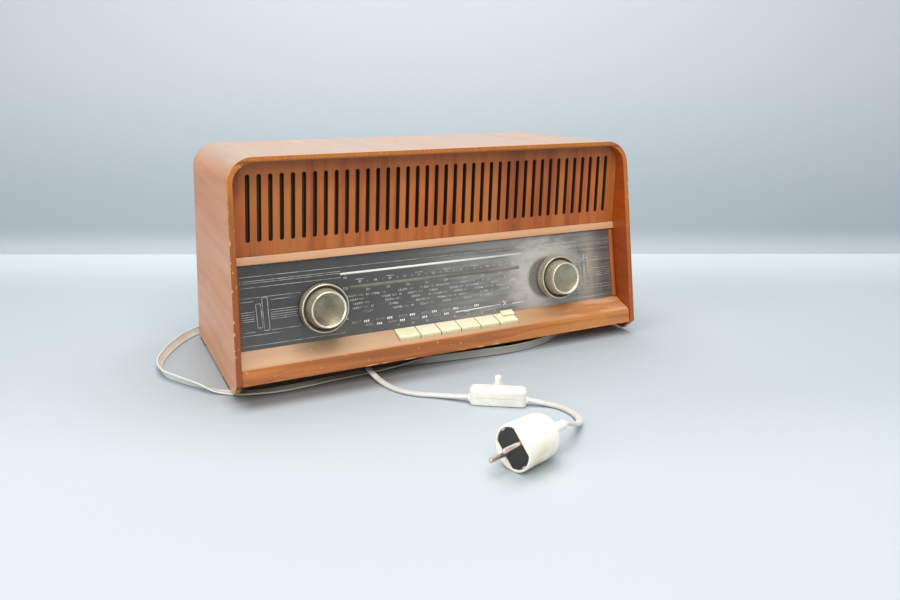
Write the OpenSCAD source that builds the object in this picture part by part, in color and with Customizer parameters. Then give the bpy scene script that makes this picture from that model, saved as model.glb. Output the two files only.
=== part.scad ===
// Table radio of the early 1960s: a bent veneer cabinet, a slotted speaker baffle, a glass dial with
// two pairs of knobs, six piano keys, the chassis behind them, a mains lead and a ribbon aerial lead.
// Millimetres. X runs to the right seen from the front, Y to the back, Z up from the table.

/* [Cabinet] */
// Width of the cabinet
cab_w = 480; // [460:1:560]
// Height of the cabinet above the table
cab_h = 235; // [232:1:260]
// Depth of the cabinet at the table
cab_d = 226; // [222:1:280]
// Thickness of the bent plywood
ply_t = 6; // [4:0.5:8]
// Outer radius of the two bent corners
corner_r = 27; // [22:1:32]
// How far the front edge leans back at the top
lean = 23; // [10:1:26]
// Height of the undercut at the front of the sides
under_h = 13; // [8:1:16]
// Depth of the undercut at the front of the sides
under_d = 16; // [10:1:24]
// Thickness of the glides under the sides
glide_t = 3; // [2:0.5:4]
// Thickness of the bottom board
bottom_t = 6; // [4:0.5:7]
// Thickness of the back cover
back_t = 3.2; // [2:0.2:5]
// How far the back cover lies inside the rear edge
back_in = 6; // [4:0.5:8]
// Width of the vent slots in the back cover
vent_w = 3.4; // [2:0.1:3.8]

/* [Baffle] */
// Thickness of the slotted baffle
baffle_t = 8; // [5:0.5:9]
// Tilt of the baffle, its top nearer the front
baffle_tilt = 4.3; // [2:0.1:5]
// Depth of the baffle's lower edge behind the cabinet's front
baffle_in = 39.4; // [37:0.2:42]
// Number of slots
slot_n = 39; // [20:1:39]
// Distance from the cabinet's inner wall to the middle of the first slot
slot_end = 16.5; // [12:0.5:40]
// Width of a slot
slot_w = 4.3; // [2:0.1:6]
// Height of wood left above the slots
slot_high = 12.6; // [8:0.2:30]
// Height of the lower end of the slots above the divider
slot_low = 14.5; // [8:0.5:16]
// Height of wood left above and below a loudspeaker
speaker_gap = 3; // [2:0.5:12]

/* [Dial] */
// Tilt of the dial, its top further back
dial_tilt = 7.5; // [4:0.5:8]
// Depth of the glass at the seam with the plinth
dial_in = 29.3; // [28:0.1:31]
// Height of that seam above the table
seam_z = 40.8; // [40:0.1:43]
// Height of the visible glass along its slope
dial_h = 83.5; // [80:0.5:84]
// Thickness of the glass
glass_t = 3; // [2:0.5:4]
// Width of the two battens at the ends of the dial
batten_w = 6; // [4:0.5:10]
// Height of the divider strip
divider_h = 8; // [6:0.5:10]
// Travel of each pointer to either side
pointer_travel = 100; // [60:1:105]

/* [Knobs] */
// Distance of each knob's middle from the cabinet's inner wall
knob_end = 90; // [60:1:94]
// Height of the knobs above the seam along the glass
knob_s = 33.7; // [30:0.5:50]
// Radius of an outer knob
outer_knob_r = 25; // [22:0.5:27]
// How far an outer knob stands out of the glass
outer_knob_out = 14; // [13:0.5:16]
// Radius of an inner knob
inner_knob_r = 18.5; // [14:0.5:19]
// How far an inner knob stands out of the glass
inner_knob_out = 26; // [24:0.5:30]

/* [Keys] */
// Distance from key to key
key_pitch = 24.5; // [20:0.5:25]
// Gap between two keys
key_gap = 0.7; // [0.6:0.1:1.5]
// Middle of the row of keys
key_mid = 7.2; // [0:0.2:10]
// Radius of the axle of the keys
axle_r = 2; // [1.5:0.1:2.5]

/* [Leads] */
// Width of the flat mains lead
mains_w = 6.4; // [5:0.1:7]
// Thickness of the flat mains lead
mains_t = 3.8; // [3:0.1:4.5]
// Width of the ribbon aerial lead
ribbon_w = 10; // [7:0.5:10]
// Thickness of the ribbon aerial lead
ribbon_t = 1.8; // [1.2:0.1:2]
// Radius of the mains plug
plug_r = 19; // [18:0.5:20]
// Distance between the pins of the mains plug
pin_gap = 19; // [18:0.5:20]
// Radius of a pin of the mains plug
pin_r = 2; // [2:0.1:2.4]
// Length of the lead switch
switch_l = 54.5; // [50:0.5:60]
// Width of the lead switch
switch_w = 17; // [16:0.5:22]
// Height of the lead switch
switch_h = 16; // [15:0.5:20]
// Travel of the button of the lead switch
button_travel = 3; // [1:0.5:3]
// Radius of a socket's bore on the back
socket_r = 2; // [2:0.1:2.4]

/* [Hidden] */
$fn = 64;

veneer = "#b9855f";
edge_wood = "#cf8a45";
baffle_wood = "#a35a32";
plinth_wood = "#bf7c47";
ivory = "#efe9c2";
nickel = "#9b978a";
dark = "#4a4d50";
steel = "#a9adb0";
brown = "#6b4a33";
cream = "#f1ead6";
brass = "#c8a24a";

front_y = -cab_d / 2;
back_y = cab_d / 2;
in_w = cab_w - 2 * ply_t;
in_top = cab_h - ply_t;
in_r = corner_r - ply_t;
seat = 0.2;
run = 0.05;
weld = 0.05;
plinth_z = glide_t + 11.5;
board_z = plinth_z + 1.5;
floor_z = board_z + bottom_t;
divider_z = seam_z + dial_h * cos(dial_tilt) + 1.6;
divider_top = divider_z + divider_h;
knob_x = in_w / 2 - knob_end;
baffle_h = (in_top - divider_top) / cos(baffle_tilt);
slot_pitch = (in_w - 2 * slot_end) / (slot_n - 1);
slot_len = baffle_h - slot_low - slot_high;
cover_out_y = back_y - back_in;
cover_in_y = cover_out_y - back_t;

// Joinery helpers: a (y, z) outline carried along X, and a flat (x, z) shape carried along Y
module along_x(x0, x1, outline) {
    translate([x0, 0, 0])
        rotate([90, 0, 90])
            linear_extrude(x1 - x0)
                polygon([for (p = outline) [front_y + p[0], p[1]]]);
}

module along_y(y0, y1) {
    translate([0, y1, 0])
        rotate([90, 0, 0])
            linear_extrude(y1 - y0)
                children();
}

module arch(w, z0, z1, r) {
    translate([-w / 2, z0])
        square([w, z1 - z0 - r]);
    translate([-w / 2 + r, z0])
        square([w - 2 * r, z1 - z0]);
    for (side = [-1, 1])
        translate([side * (w / 2 - r), z1 - r])
            circle(r = r);
}

module rounded(w, h, r) {
    square([w - 2 * r, h], center = true);
    square([w, h - 2 * r], center = true);
    for (sx = [-1, 1], sy = [-1, 1])
        translate([sx * (w / 2 - r), sy * (h / 2 - r)])
            circle(r = r);
}

module stadium(w, len) {
    translate([-w / 2, w / 2])
        square([w, len - w]);
    for (z = [w / 2, len - w / 2])
        translate([0, z])
            circle(d = w);
}

// Frames of the sloped dial and of the sloped baffle: local z climbs the slope, local y goes inwards
module on_dial(x = 0, s = 0) {
    translate([0, front_y + dial_in, seam_z])
        rotate([-dial_tilt, 0, 0])
            translate([x, 0, s])
                children();
}

module on_baffle(x = 0, s = 0) {
    translate([0, front_y + baffle_in, divider_top])
        rotate([baffle_tilt, 0, 0])
            translate([x, 0, s])
                children();
}

// A (radius, depth) outline turned about the inward axis, and one turned about the outward axis
module turned_in(outline) {
    rotate([-90, 0, 0])
        rotate_extrude()
            polygon(outline);
}

module turned_out(outline) {
    rotate([90, 0, 0])
        rotate_extrude()
            polygon(outline);
}

// Cabinet
side_outline = [
    [0, glide_t + under_h],
    [lean, cab_h],
    [cab_d, cab_h],
    [cab_d, glide_t],
    [under_d, glide_t]
];

module cabinet_shell() {
    color(veneer)
        intersection() {
            along_y(front_y - 1, back_y + 1)
                difference() {
                    arch(cab_w, 0, cab_h, corner_r);
                    arch(in_w, -1, in_top, in_r);
                }
            along_x(-cab_w / 2 - 1, cab_w / 2 + 1, side_outline);
        }
}

batten_t = 10;
batten_y = cover_in_y - seat - batten_t;
batten_low = floor_z + 20;
batten_high = in_top - in_r - 8;
screw_r = 1.5;
screw_in = 19;
screw_side_x = in_w / 2 - batten_t / 2;
screw_top_x = in_w / 4 + 3;
screw_places = [
    for (side = [-1, 1], z = [batten_low + screw_in, batten_high - screw_in]) [side * screw_side_x, z],
    for (side = [-1, 1]) [side * screw_top_x, in_top - batten_t / 2]
];

module back_battens() {
    color(edge_wood)
        difference() {
            union() {
                for (side = [-1, 1])
                    translate([side * (in_w / 2 - batten_t / 2 - seat / 2), batten_y + batten_t / 2, 0])
                        translate([0, 0, (batten_low + batten_high) / 2])
                            cube([batten_t - seat, batten_t, batten_high - batten_low], center = true);
                translate([0, batten_y + batten_t / 2, in_top - batten_t / 2 - seat / 2])
                    cube([in_w - 2 * in_r - 20, batten_t, batten_t - seat], center = true);
            }
            for (p = screw_places)
                translate([p[0], batten_y + batten_t / 2, p[1]])
                    rotate([90, 0, 0])
                        cylinder(r = screw_r + run, h = batten_t + 1, center = true);
        }
}

glide_l = 30;

module glides() {
    color(dark)
        for (side = [-1, 1], y = [front_y + 60, back_y - 25])
            translate([side * (cab_w / 2 - ply_t / 2), y, glide_t / 2])
                cube([ply_t - 0.6, glide_l, glide_t], center = true);
}

plinth_back = 46;

module bottom_board() {
    color(brown)
        translate([-in_w / 2 + seat, front_y + plinth_back + seat, board_z])
            cube([in_w - 2 * seat, cover_in_y - seat - front_y - plinth_back - seat, bottom_t]);
}

// Front plinth: a solid rail whose top slopes up to the glass, notched for the keys
plinth_front = 3.7;
plinth_edge_z = plinth_z + 16;
ledge_drop = 2;
top_slope = (seam_z - plinth_edge_z) / (dial_in - plinth_front);
key_n = 6;
key_w = key_pitch - key_gap;
key_row_w = key_n * key_pitch - key_gap;
notch_side = 0.8;
key_front = 10.2;
notch_front = key_front - 0.6;
notch_z = plinth_z + 7.5;

module front_plinth() {
    color(plinth_wood)
        difference() {
            along_x(-in_w / 2 + seat, in_w / 2 - seat, [
                [1.5, plinth_z],
                [plinth_front - 0.6, plinth_edge_z - 1.4],
                [plinth_front + 0.9, plinth_edge_z + 0.3],
                [dial_in - 0.4, seam_z - 0.2],
                [dial_in - 0.4, seam_z - ledge_drop],
                [plinth_back, seam_z - ledge_drop],
                [plinth_back, plinth_z]
            ]);
            translate([key_mid - key_row_w / 2 - notch_side, front_y + notch_front, notch_z])
                cube([key_row_w + 2 * notch_side, plinth_back, seam_z]);
        }
}

// Divider strip: a slanted face above the glass, under the baffle
divider_front = 36;
divider_back = 56;

module divider_strip() {
    color(edge_wood)
        along_x(-in_w / 2 + seat, in_w / 2 - seat, [
            [divider_front + 0.6, divider_z],
            [divider_front, divider_z + 0.8],
            [divider_front + 0.1, divider_z + 1.6],
            [baffle_in - 0.9, divider_top - 0.7],
            [baffle_in - 0.2, divider_top],
            [divider_back, divider_top],
            [divider_back, divider_z]
        ]);
}

module dial_battens() {
    color(edge_wood)
        on_dial()
            for (side = [-1, 1])
                translate([side * (in_w / 2 - seat - batten_w / 2), -1.5, dial_h / 2 + 0.2])
                    cube([batten_w, 2.4, dial_h - 0.6], center = true);
}

// Slotted baffle: the slots are milled square to the panel and the top corners follow the bent shell
module slots() {
    for (i = [0 : slot_n - 1])
        translate([(i - (slot_n - 1) / 2) * slot_pitch, slot_low])
            stadium(slot_w, slot_len);
}

module speaker_baffle() {
    color(baffle_wood)
        intersection() {
            on_baffle()
                along_y(0, baffle_t)
                    difference() {
                        translate([-in_w / 2, seat])
                            square([in_w, baffle_h + 10]);
                        slots();
                    }
            along_y(front_y, back_y)
                arch(in_w - 2 * seat, divider_top, in_top - seat, in_r - seat);
        }
}

cloth_t = 1;

module grille_cloth() {
    color("#2d2019")
        on_baffle()
            along_y(baffle_t, baffle_t + cloth_t)
                translate([-in_w / 2 + 8, 5])
                    square([in_w - 16, slot_low + slot_len - 1]);
}

// Loudspeakers behind the cloth: an open basket with a magnet pot, and a paper cone in it
speaker_x = in_w / 4 + 8;
speaker_s = baffle_h / 2;
speaker_r = baffle_h / 2 - speaker_gap;
basket_d = 27;
magnet_r = 27;
magnet_t = 18;

module speaker(x) {
    color(steel)
        on_baffle(x, speaker_s)
            translate([0, baffle_t + cloth_t, 0])
                difference() {
                    turned_in([
                        [speaker_r - 7.5, 0],
                        [speaker_r, 0],
                        [speaker_r, 1.5],
                        [speaker_r - 4.8, 1.5],
                        [magnet_r - 2, basket_d],
                        [magnet_r, basket_d],
                        [magnet_r, basket_d + magnet_t],
                        [0, basket_d + magnet_t],
                        [0, basket_d],
                        [magnet_r - 4.5, basket_d],
                        [speaker_r - 7.5, 2]
                    ]);
                    for (a = [30 : 60 : 330])
                        rotate([0, a, 0])
                            translate([speaker_r - 12, basket_d / 2, 0])
                                cube([24, basket_d / 2, 17], center = true);
                }
}

module left_speaker() {
    speaker(-speaker_x);
}

module right_speaker() {
    speaker(speaker_x);
}

module speaker_cones() {
    color(dark)
        for (side = [-1, 1])
            on_baffle(side * speaker_x, speaker_s)
                translate([0, baffle_t + cloth_t, 0])
                    turned_in([
                        [speaker_r - 9, 0.3],
                        [speaker_r - 7.5, 0.3],
                        [speaker_r - 7.5, 1.2],
                        [magnet_r - 13, basket_d - 6],
                        [magnet_r - 13, basket_d],
                        [0, basket_d],
                        [0, basket_d - 5],
                        [8, basket_d - 5.4],
                        [13, basket_d - 7]
                    ]);
}

// Back cover: hardboard with rows of vent slots, a window for the sockets and a hole for the lead
window_x = -26;
window_z = 47;
window_w = 100;
window_h = 20;
gland_x = in_w / 2 - 84;
gland_z = 46;
gland_r = 6;
vent_len = 28;
vent_pitch = 9;
vent_rows = [for (k = [0 : 2]) window_z + 31 + k * 40];

module back_cover() {
    color(brown)
        difference() {
            along_y(cover_in_y, cover_out_y)
                difference() {
                    arch(in_w - 2 * seat - 0.6, plinth_z, in_top - 0.5, in_r - 0.5);
                    for (i = [-20 : 20], z = vent_rows)
                        translate([i * vent_pitch, z])
                            stadium(vent_w, vent_len);
                    translate([window_x, window_z])
                        square([window_w, window_h], center = true);
                }
            translate([gland_x, cover_out_y, gland_z])
                rotate([90, 0, 0])
                    cylinder(r = gland_r + run, h = 2 * back_t + 2, center = true);
            for (p = screw_places)
                translate([p[0], cover_out_y, p[1]])
                    rotate([90, 0, 0])
                        cylinder(r = screw_r + 0.3, h = 2 * back_t + 2, center = true);
        }
}

module back_screws() {
    color(steel)
        for (p = screw_places)
            translate([p[0], cover_out_y, p[1]])
                turned_in([
                    [0, -back_t - batten_t + 2],
                    [screw_r, -back_t - batten_t + 3.5],
                    [screw_r, 0],
                    [3.6, 0],
                    [3.2, 1.2],
                    [1.8, 2],
                    [0, 2.1]
                ]);
}

// Dial glass, its reflector plate, the pointers on their rails and the lamps
shaft_r = 3;
tube_r = 5;
plate_y = 16;
plate_t = 1.2;
rail_r = 1.5;
rail_y = 9;
fm_rail_s = dial_h - 6;
am_rail_s = 5;
rail_mid = -6;
carriage_half = 7;
rail_half = pointer_travel + carriage_half + 8;

module dial_glass() {
    color(dark)
        on_dial()
            difference() {
                translate([-in_w / 2 + 1, 0, -1.6])
                    cube([in_w - 2, glass_t, dial_h + 1.8]);
                for (side = [-1, 1])
                    translate([side * knob_x, glass_t / 2, knob_s])
                        rotate([90, 0, 0])
                            cylinder(r = tube_r + 1, h = glass_t + 2, center = true);
            }
}

module dial_backplate() {
    color(cream)
        on_dial()
            difference() {
                union() {
                    translate([-in_w / 2 + 12, plate_y, 1])
                        cube([in_w - 24, plate_t, dial_h - 2]);
                    for (s = [1, dial_h - 1 - plate_t])
                        translate([-in_w / 2 + 12, glass_t + 0.1, s])
                            cube([in_w - 24, plate_y - glass_t - 0.1 - weld, plate_t]);
                    for (side = [-1, 1])
                        translate([side * knob_x, plate_y - weld, knob_s])
                            turned_out([[0, 0], [9, 0], [9, 1], [8, 5], [0, 5]]);
                    for (s = [am_rail_s, fm_rail_s], side = [-1, 1])
                        translate([rail_mid + side * (rail_half + 1), (plate_y + rail_y - 3 - weld) / 2, s])
                            cube([2, plate_y - rail_y + 3 - weld, 5], center = true);
                }
                for (side = [-1, 1])
                    translate([side * knob_x, plate_y, knob_s])
                        rotate([90, 0, 0])
                            cylinder(r = tube_r + run, h = 30, center = true);
            }
}

module pointer_rails() {
    color(steel)
        on_dial()
            for (s = [am_rail_s, fm_rail_s])
                translate([rail_mid, rail_y, s])
                    rotate([0, 90, 0])
                        cylinder(r = rail_r, h = 2 * rail_half, center = true);
}

// A carriage that runs on its rail and carries a needle just behind the glass
needle_gap = 2;

module pointer(rail_s, tip_s) {
    low = min(rail_s, tip_s);
    high = max(rail_s, tip_s);
    on_dial(rail_mid)
        difference() {
            union() {
                translate([0, rail_y, rail_s])
                    cube([2 * carriage_half, 5, 5], center = true);
                translate([-0.5, glass_t + 1.2, low])
                    cube([1, 0.8, high - low]);
                translate([-1.5, glass_t + 1.2, rail_s - 1.5])
                    cube([3, rail_y - glass_t - 2.6, 3]);
            }
            translate([0, rail_y, rail_s])
                rotate([0, 90, 0])
                    cylinder(r = rail_r + run, h = 4 * carriage_half, center = true);
        }
}

module fm_pointer() {
    color("#b8402a")
        pointer(fm_rail_s, dial_h * 0.6 + needle_gap);
}

module am_pointer() {
    color("#b8402a")
        pointer(am_rail_s, dial_h * 0.6 - needle_gap);
}

lamp_x = in_w / 2 - 30;

module dial_lamps() {
    color("#f2e7b8")
        on_dial()
            for (side = [-1, 1])
                translate([side * lamp_x, plate_y, dial_h - 14])
                    turned_out([[0, 0], [4.6, 0], [4.6, 4], [3.6, 4], [4.4, 7], [3, 10], [0, 11]]);
}

// Knobs and the shafts that they sit on
skirt_z = 1.5;
dish_z = 8;

module outer_knob(x) {
    r = outer_knob_r;
    top = outer_knob_out;
    color(nickel)
        on_dial(x, knob_s)
            turned_out([
                [tube_r, skirt_z],
                [r - 1.4, skirt_z],
                [r - 0.8, skirt_z + 0.7],
                [r - 0.8, skirt_z + 4.5],
                [r, skirt_z + 5.1],
                [r, top - 0.8],
                [r - 0.8, top],
                [r - 2.2, top],
                [r - 3.2, top - 1.2],
                [r - 4.4, dish_z + 0.5],
                [tube_r + 4, dish_z],
                [tube_r + 4, dish_z + 1],
                [tube_r, dish_z + 1]
            ]);
}

module inner_knob(x) {
    r = inner_knob_r;
    low = dish_z + 1.8;
    top = inner_knob_out;
    color(nickel)
        on_dial(x, knob_s)
            turned_out([
                [shaft_r, low],
                [r - 1.3, low],
                [r - 0.5, low + 0.8],
                [r, low + 2.2],
                [r, top - 1],
                [r - 0.7, top],
                [r - 1.9, top],
                [r - 2.7, top - 0.8],
                [r * 0.45, top - 2.6],
                [0, top - 3],
                [0, top - 5.8],
                [shaft_r, top - 5.8]
            ]);
}

module left_inner_knob() {
    inner_knob(-knob_x);
}

module right_inner_knob() {
    inner_knob(knob_x);
}

module left_outer_knob() {
    outer_knob(-knob_x);
}

module right_outer_knob() {
    outer_knob(knob_x);
}

spindle_r = 10;
tube_end = 25;
shaft_end = 39;
groove = 1.2;

module inner_shaft(x, pulley) {
    color(steel)
        on_dial(x, knob_s) {
            turned_in([
                [0, 5.8 - inner_knob_out],
                [shaft_r, 5.8 - inner_knob_out],
                [shaft_r, shaft_end],
                [0, shaft_end]
            ]);
            if (pulley)
                turned_in([
                    [0, tube_end + 1],
                    [spindle_r, tube_end + 1],
                    [spindle_r - groove, tube_end + 4],
                    [spindle_r, tube_end + 7],
                    [0, tube_end + 7]
                ]);
        }
}

module outer_shaft(x, pulley) {
    low = plate_y + plate_t + 0.8;
    color(steel)
        on_dial(x, knob_s) {
            turned_in([
                [shaft_r + run, -dish_z - 1],
                [tube_r, -dish_z - 1],
                [tube_r, tube_end],
                [shaft_r + run, tube_end]
            ]);
            if (pulley)
                turned_in([
                    [tube_r - 0.5, low],
                    [spindle_r, low],
                    [spindle_r - groove, low + 3],
                    [spindle_r, low + 6],
                    [tube_r - 0.5, low + 6]
                ]);
        }
}

module left_inner_shaft() {
    inner_shaft(-knob_x, false);
}

module left_outer_shaft() {
    outer_shaft(-knob_x, false);
}

module right_inner_shaft() {
    inner_shaft(knob_x, true);
}

module right_outer_shaft() {
    outer_shaft(knob_x, true);
}

module volume_pot() {
    color(steel)
        on_dial(-knob_x, knob_s) {
            turned_in([
                [tube_r + run, plate_y + plate_t],
                [13, plate_y + plate_t],
                [14, plate_y + plate_t + 1],
                [14, shaft_end - 2],
                [12, shaft_end],
                [shaft_r + run, shaft_end],
                [shaft_r + run, tube_end + 0.5],
                [tube_r + run, tube_end + 0.5]
            ]);
            for (a = [-24, 0, 24])
                rotate([0, a, 0])
                    translate([0, 26, -17])
                        cube([3, 1, 8], center = true);
        }
}

// Bracket behind the dial that carries the end of the tuning shaft
bracket_w = 30;

module tuning_bearing() {
    bush = shaft_end - 6;
    color(steel)
        on_dial(knob_x, knob_s)
            difference() {
                union() {
                    translate([0, bush + 1, 0])
                        cube([bracket_w, 1.6, 16], center = true);
                    for (side = [-1, 1]) {
                        translate([side * (bracket_w / 2 - 0.8), (plate_y + plate_t + bush + 1.8) / 2, 0])
                            cube([1.6, bush + 1.8 - plate_y - plate_t, 16], center = true);
                        translate([side * (bracket_w / 2 + 3), plate_y + plate_t + 0.8, 0])
                            cube([8, 1.6, 16], center = true);
                    }
                    turned_in([[0, bush], [6, bush], [6, shaft_end], [0, shaft_end]]);
                }
                translate([0, shaft_end, 0])
                    rotate([90, 0, 0])
                        cylinder(r = shaft_r + run, h = 20, center = true);
            }
}

// Piano keys: a cap that follows the plinth's slope and a lever back to the axle
axle_y = 74;
axle_z = 37;
cap_back = dial_in - 0.7;
cap_rise = 3.2;
lever_low = 32;
lever_high = 35;
lever_w = 12;

function plinth_top(y) = seam_z + (y - dial_in) * top_slope;

module key(i) {
    x0 = key_mid - key_row_w / 2 + i * key_pitch;
    xm = x0 + key_w / 2;
    top_front = plinth_top(key_front) + cap_rise;
    color(ivory) {
        along_x(x0, x0 + key_w, [
            [key_front, notch_z + 6.5],
            [key_front, top_front - 1.6],
            [key_front + 0.6, top_front - 0.3],
            [key_front + 2, top_front + 0.7],
            [cap_back - 0.8, plinth_top(cap_back) + cap_rise - 0.4],
            [cap_back, plinth_top(cap_back) + cap_rise - 1.2],
            [cap_back, lever_high],
            [cap_back - 1, lever_low],
            [key_front + 8, notch_z + 6.5]
        ]);
        difference() {
            union() {
                along_x(xm - lever_w / 2, xm + lever_w / 2, [
                    [cap_back - 6, lever_low],
                    [cap_back - 6, lever_high],
                    [axle_y - 6, axle_z + 2],
                    [axle_y, axle_z + 2],
                    [axle_y, axle_z - 2],
                    [axle_y - 6, axle_z - 2]
                ]);
                translate([xm, front_y + axle_y, axle_z])
                    rotate([0, 90, 0])
                        cylinder(r = axle_r + 2.2, h = lever_w, center = true);
            }
            translate([xm, front_y + axle_y, axle_z])
                rotate([0, 90, 0])
                    cylinder(r = axle_r + run, h = lever_w + 2, center = true);
        }
    }
}

// The right-hand key has a raised finger rest at its back corner
rest_w = 15;

module key_1() {
    key(0);
}

module key_2() {
    key(1);
}

module key_3() {
    key(2);
}

module key_4() {
    key(3);
}

module key_5() {
    key(4);
}

module key_6() {
    x1 = key_mid + key_row_w / 2;
    back = plinth_top(cap_back) + cap_rise;
    mid = plinth_top(cap_back - 9) + cap_rise;
    key(5);
    color(ivory)
        along_x(x1 - rest_w, x1, [
            [cap_back - 9, mid - 1],
            [cap_back - 9.6, mid + 2.6],
            [cap_back - 8.6, mid + 3.4],
            [cap_back - 2, back + 3.2],
            [cap_back - 1.2, back + 2.4],
            [cap_back - 1.2, back - 1.5]
        ]);
}

unit_side = 6;
unit_x0 = key_mid - key_row_w / 2 - unit_side;
unit_w = key_row_w + 2 * unit_side;

module key_switch_unit() {
    color(steel)
        translate([unit_x0 - 2, front_y + axle_y, axle_z])
            rotate([0, 90, 0])
                cylinder(r = axle_r, h = unit_w + 4);
    color(brown)
        difference() {
            union() {
                translate([unit_x0, front_y + axle_y - 8, floor_z + seat])
                    cube([unit_w, 34, 1.5]);
                for (x = [unit_x0, unit_x0 + unit_w - 3])
                    translate([x, front_y + axle_y - 6, floor_z + seat])
                        cube([3, 32, axle_z + 6 - floor_z]);
                translate([unit_x0 + 3, front_y + axle_y + 10, floor_z + seat])
                    cube([unit_w - 6, 16, axle_z + 8 - floor_z]);
            }
            translate([unit_x0 - 1, front_y + axle_y, axle_z])
                rotate([0, 90, 0])
                    cylinder(r = axle_r + run, h = unit_w + 2);
        }
}

// Chassis: a steel tray, welded at its seams, with its open side to the keys
chassis_half = in_w / 2 - 54;
chassis_y0 = 72;
chassis_y1 = cab_d - 28;
chassis_z = 63;
sheet_t = 1.2;
row_step = 42;
row_x = 20 - chassis_half;
valve_y = chassis_y1 - 38;
valve_r = 10.4;
valve_h = 55;
valve_x = [row_x, row_x + row_step, row_x + 2 * row_step, row_x + 3 * row_step, chassis_half - 96];

module chassis() {
    end_d = chassis_y1 - chassis_y0 - sheet_t - weld;
    color(steel)
        difference() {
            union() {
                translate([-chassis_half, front_y + chassis_y0, chassis_z - sheet_t])
                    cube([2 * chassis_half, chassis_y1 - chassis_y0, sheet_t]);
                translate([-chassis_half, front_y + chassis_y1 - sheet_t, floor_z + seat])
                    cube([2 * chassis_half, sheet_t, chassis_z - sheet_t - weld - floor_z - seat]);
                for (side = [-1, 1])
                    translate([side * (chassis_half - sheet_t / 2), front_y + chassis_y0, floor_z + seat])
                        translate([-sheet_t / 2, 0, 0])
                            cube([sheet_t, end_d, chassis_z - sheet_t - weld - floor_z - seat]);
            }
            for (x = valve_x)
                translate([x, front_y + valve_y, chassis_z])
                    cylinder(r = 9, h = 4, center = true);
        }
}

module valves() {
    for (x = valve_x)
        translate([x, front_y + valve_y, chassis_z]) {
            color(brown)
                rotate_extrude()
                    polygon([
                        [0, -8],
                        [8.6, -8],
                        [8.6, 0.1],
                        [valve_r + 1.1, 0.1],
                        [valve_r + 1.1, 2],
                        [0, 2]
                    ]);
            color("#c9d0d2")
                rotate_extrude()
                    polygon([
                        [0, 2],
                        [valve_r - 0.4, 2],
                        [valve_r, 5],
                        [valve_r, valve_h - 13],
                        [valve_r - 2.4, valve_h - 7],
                        [3, valve_h - 4.5],
                        [1.6, valve_h - 1],
                        [0, valve_h]
                    ]);
        }
}

can_side = 22;
can_h = 46;
can_y = valve_y - 42;
can_x = [for (k = [1 : 3]) row_x + 12 + k * row_step];

module screening_cans() {
    color(steel)
        for (x = can_x)
            translate([x, front_y + can_y, chassis_z + weld])
                linear_extrude(can_h)
                    rounded(can_side, can_side, 3);
}

// Tuning capacitor: a frame with fixed plates, and a rotor whose plates turn between them
gang_x = 40;
gang_z = 88;
gang_y0 = 76;
gang_y1 = 120;
gang_half = 24;
wall = 2;
spindle_in = 2.5;
vane_r = 18;
vane_n = 6;
vane_pitch = 5;
vane_y0 = 84;

module tuning_capacitor() {
    color(steel)
        translate([gang_x, front_y, 0])
            difference() {
                union() {
                    translate([-gang_half, gang_y0, chassis_z + weld])
                        cube([2 * gang_half, gang_y1 - gang_y0, wall]);
                    for (y = [gang_y0, gang_y1 - wall])
                        translate([-gang_half, y, chassis_z + weld])
                            cube([2 * gang_half, wall, gang_z + 12 - chassis_z]);
                    translate([0, gang_y0, gang_z])
                        turned_out([[0, 0], [8, 0], [8, 7], [0, 7]]);
                    for (side = [-1, 1])
                        translate([side * (vane_r + 3.4), (gang_y0 + gang_y1) / 2, gang_z - 2])
                            cube([2, gang_y1 - gang_y0 - 1, 4], center = true);
                    for (i = [0 : vane_n - 2])
                        translate([0, vane_y0 + (i + 0.5) * vane_pitch, gang_z])
                            rotate([-90, 0, 0])
                                linear_extrude(0.8)
                                    difference() {
                                        circle(r = vane_r + 3);
                                        circle(r = 7);
                                        translate([-40, -80])
                                            square([80, 80]);
                                    }
                }
                translate([0, gang_y0 - 8, gang_z])
                    turned_in([[0, 0], [spindle_in + run, 0], [spindle_in + run, 8.2], [0, 8.2]]);
                translate([0, gang_y0, gang_z])
                    turned_in([[0, 0], [shaft_r + run, 0], [shaft_r + run, 60], [0, 60]]);
            }
}

module tuning_rotor() {
    color(brass)
        translate([gang_x, front_y, gang_z]) {
            translate([0, gang_y0 + 0.4, 0])
                rotate([-90, 0, 0])
                    cylinder(r = shaft_r, h = gang_y1 - gang_y0 + 1.6);
            for (i = [0 : vane_n - 1])
                translate([0, vane_y0 + i * vane_pitch, 0])
                    rotate([-90, 0, 0])
                        linear_extrude(0.8)
                            difference() {
                                circle(r = vane_r);
                                translate([4, -40])
                                    square([80, 80]);
                            }
        }
}

drum_r = 25;
drum_y0 = 59;
drum_t = 8;

module drive_drum() {
    color(cream)
        translate([gang_x, front_y, gang_z])
            difference() {
                turned_in([
                    [0, drum_y0 + 2.5],
                    [drum_r - 5, drum_y0 + 2.5],
                    [drum_r - 5, drum_y0],
                    [drum_r, drum_y0],
                    [drum_r - groove, drum_y0 + drum_t / 2],
                    [drum_r, drum_y0 + drum_t],
                    [drum_r - 5, drum_y0 + drum_t],
                    [drum_r - 5, drum_y0 + drum_t - 2.5],
                    [6, drum_y0 + drum_t - 2.5],
                    [6, drum_y0 + drum_t],
                    [spindle_in, drum_y0 + drum_t],
                    [spindle_in, gang_y0],
                    [0, gang_y0]
                ]);
                for (a = [0 : 90 : 270])
                    rotate([0, a, 0])
                        translate([13, drum_y0 + drum_t / 2, 0])
                            rotate([90, 0, 0])
                                cylinder(r = 4.5, h = drum_t + 2, center = true);
            }
}

// Transformers: a laminated core with a winding through it
core_w = 66;
core_d = 52;
core_h = 56;
small_core_w = 44;
small_core_d = 24;
small_core_h = 38;

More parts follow.
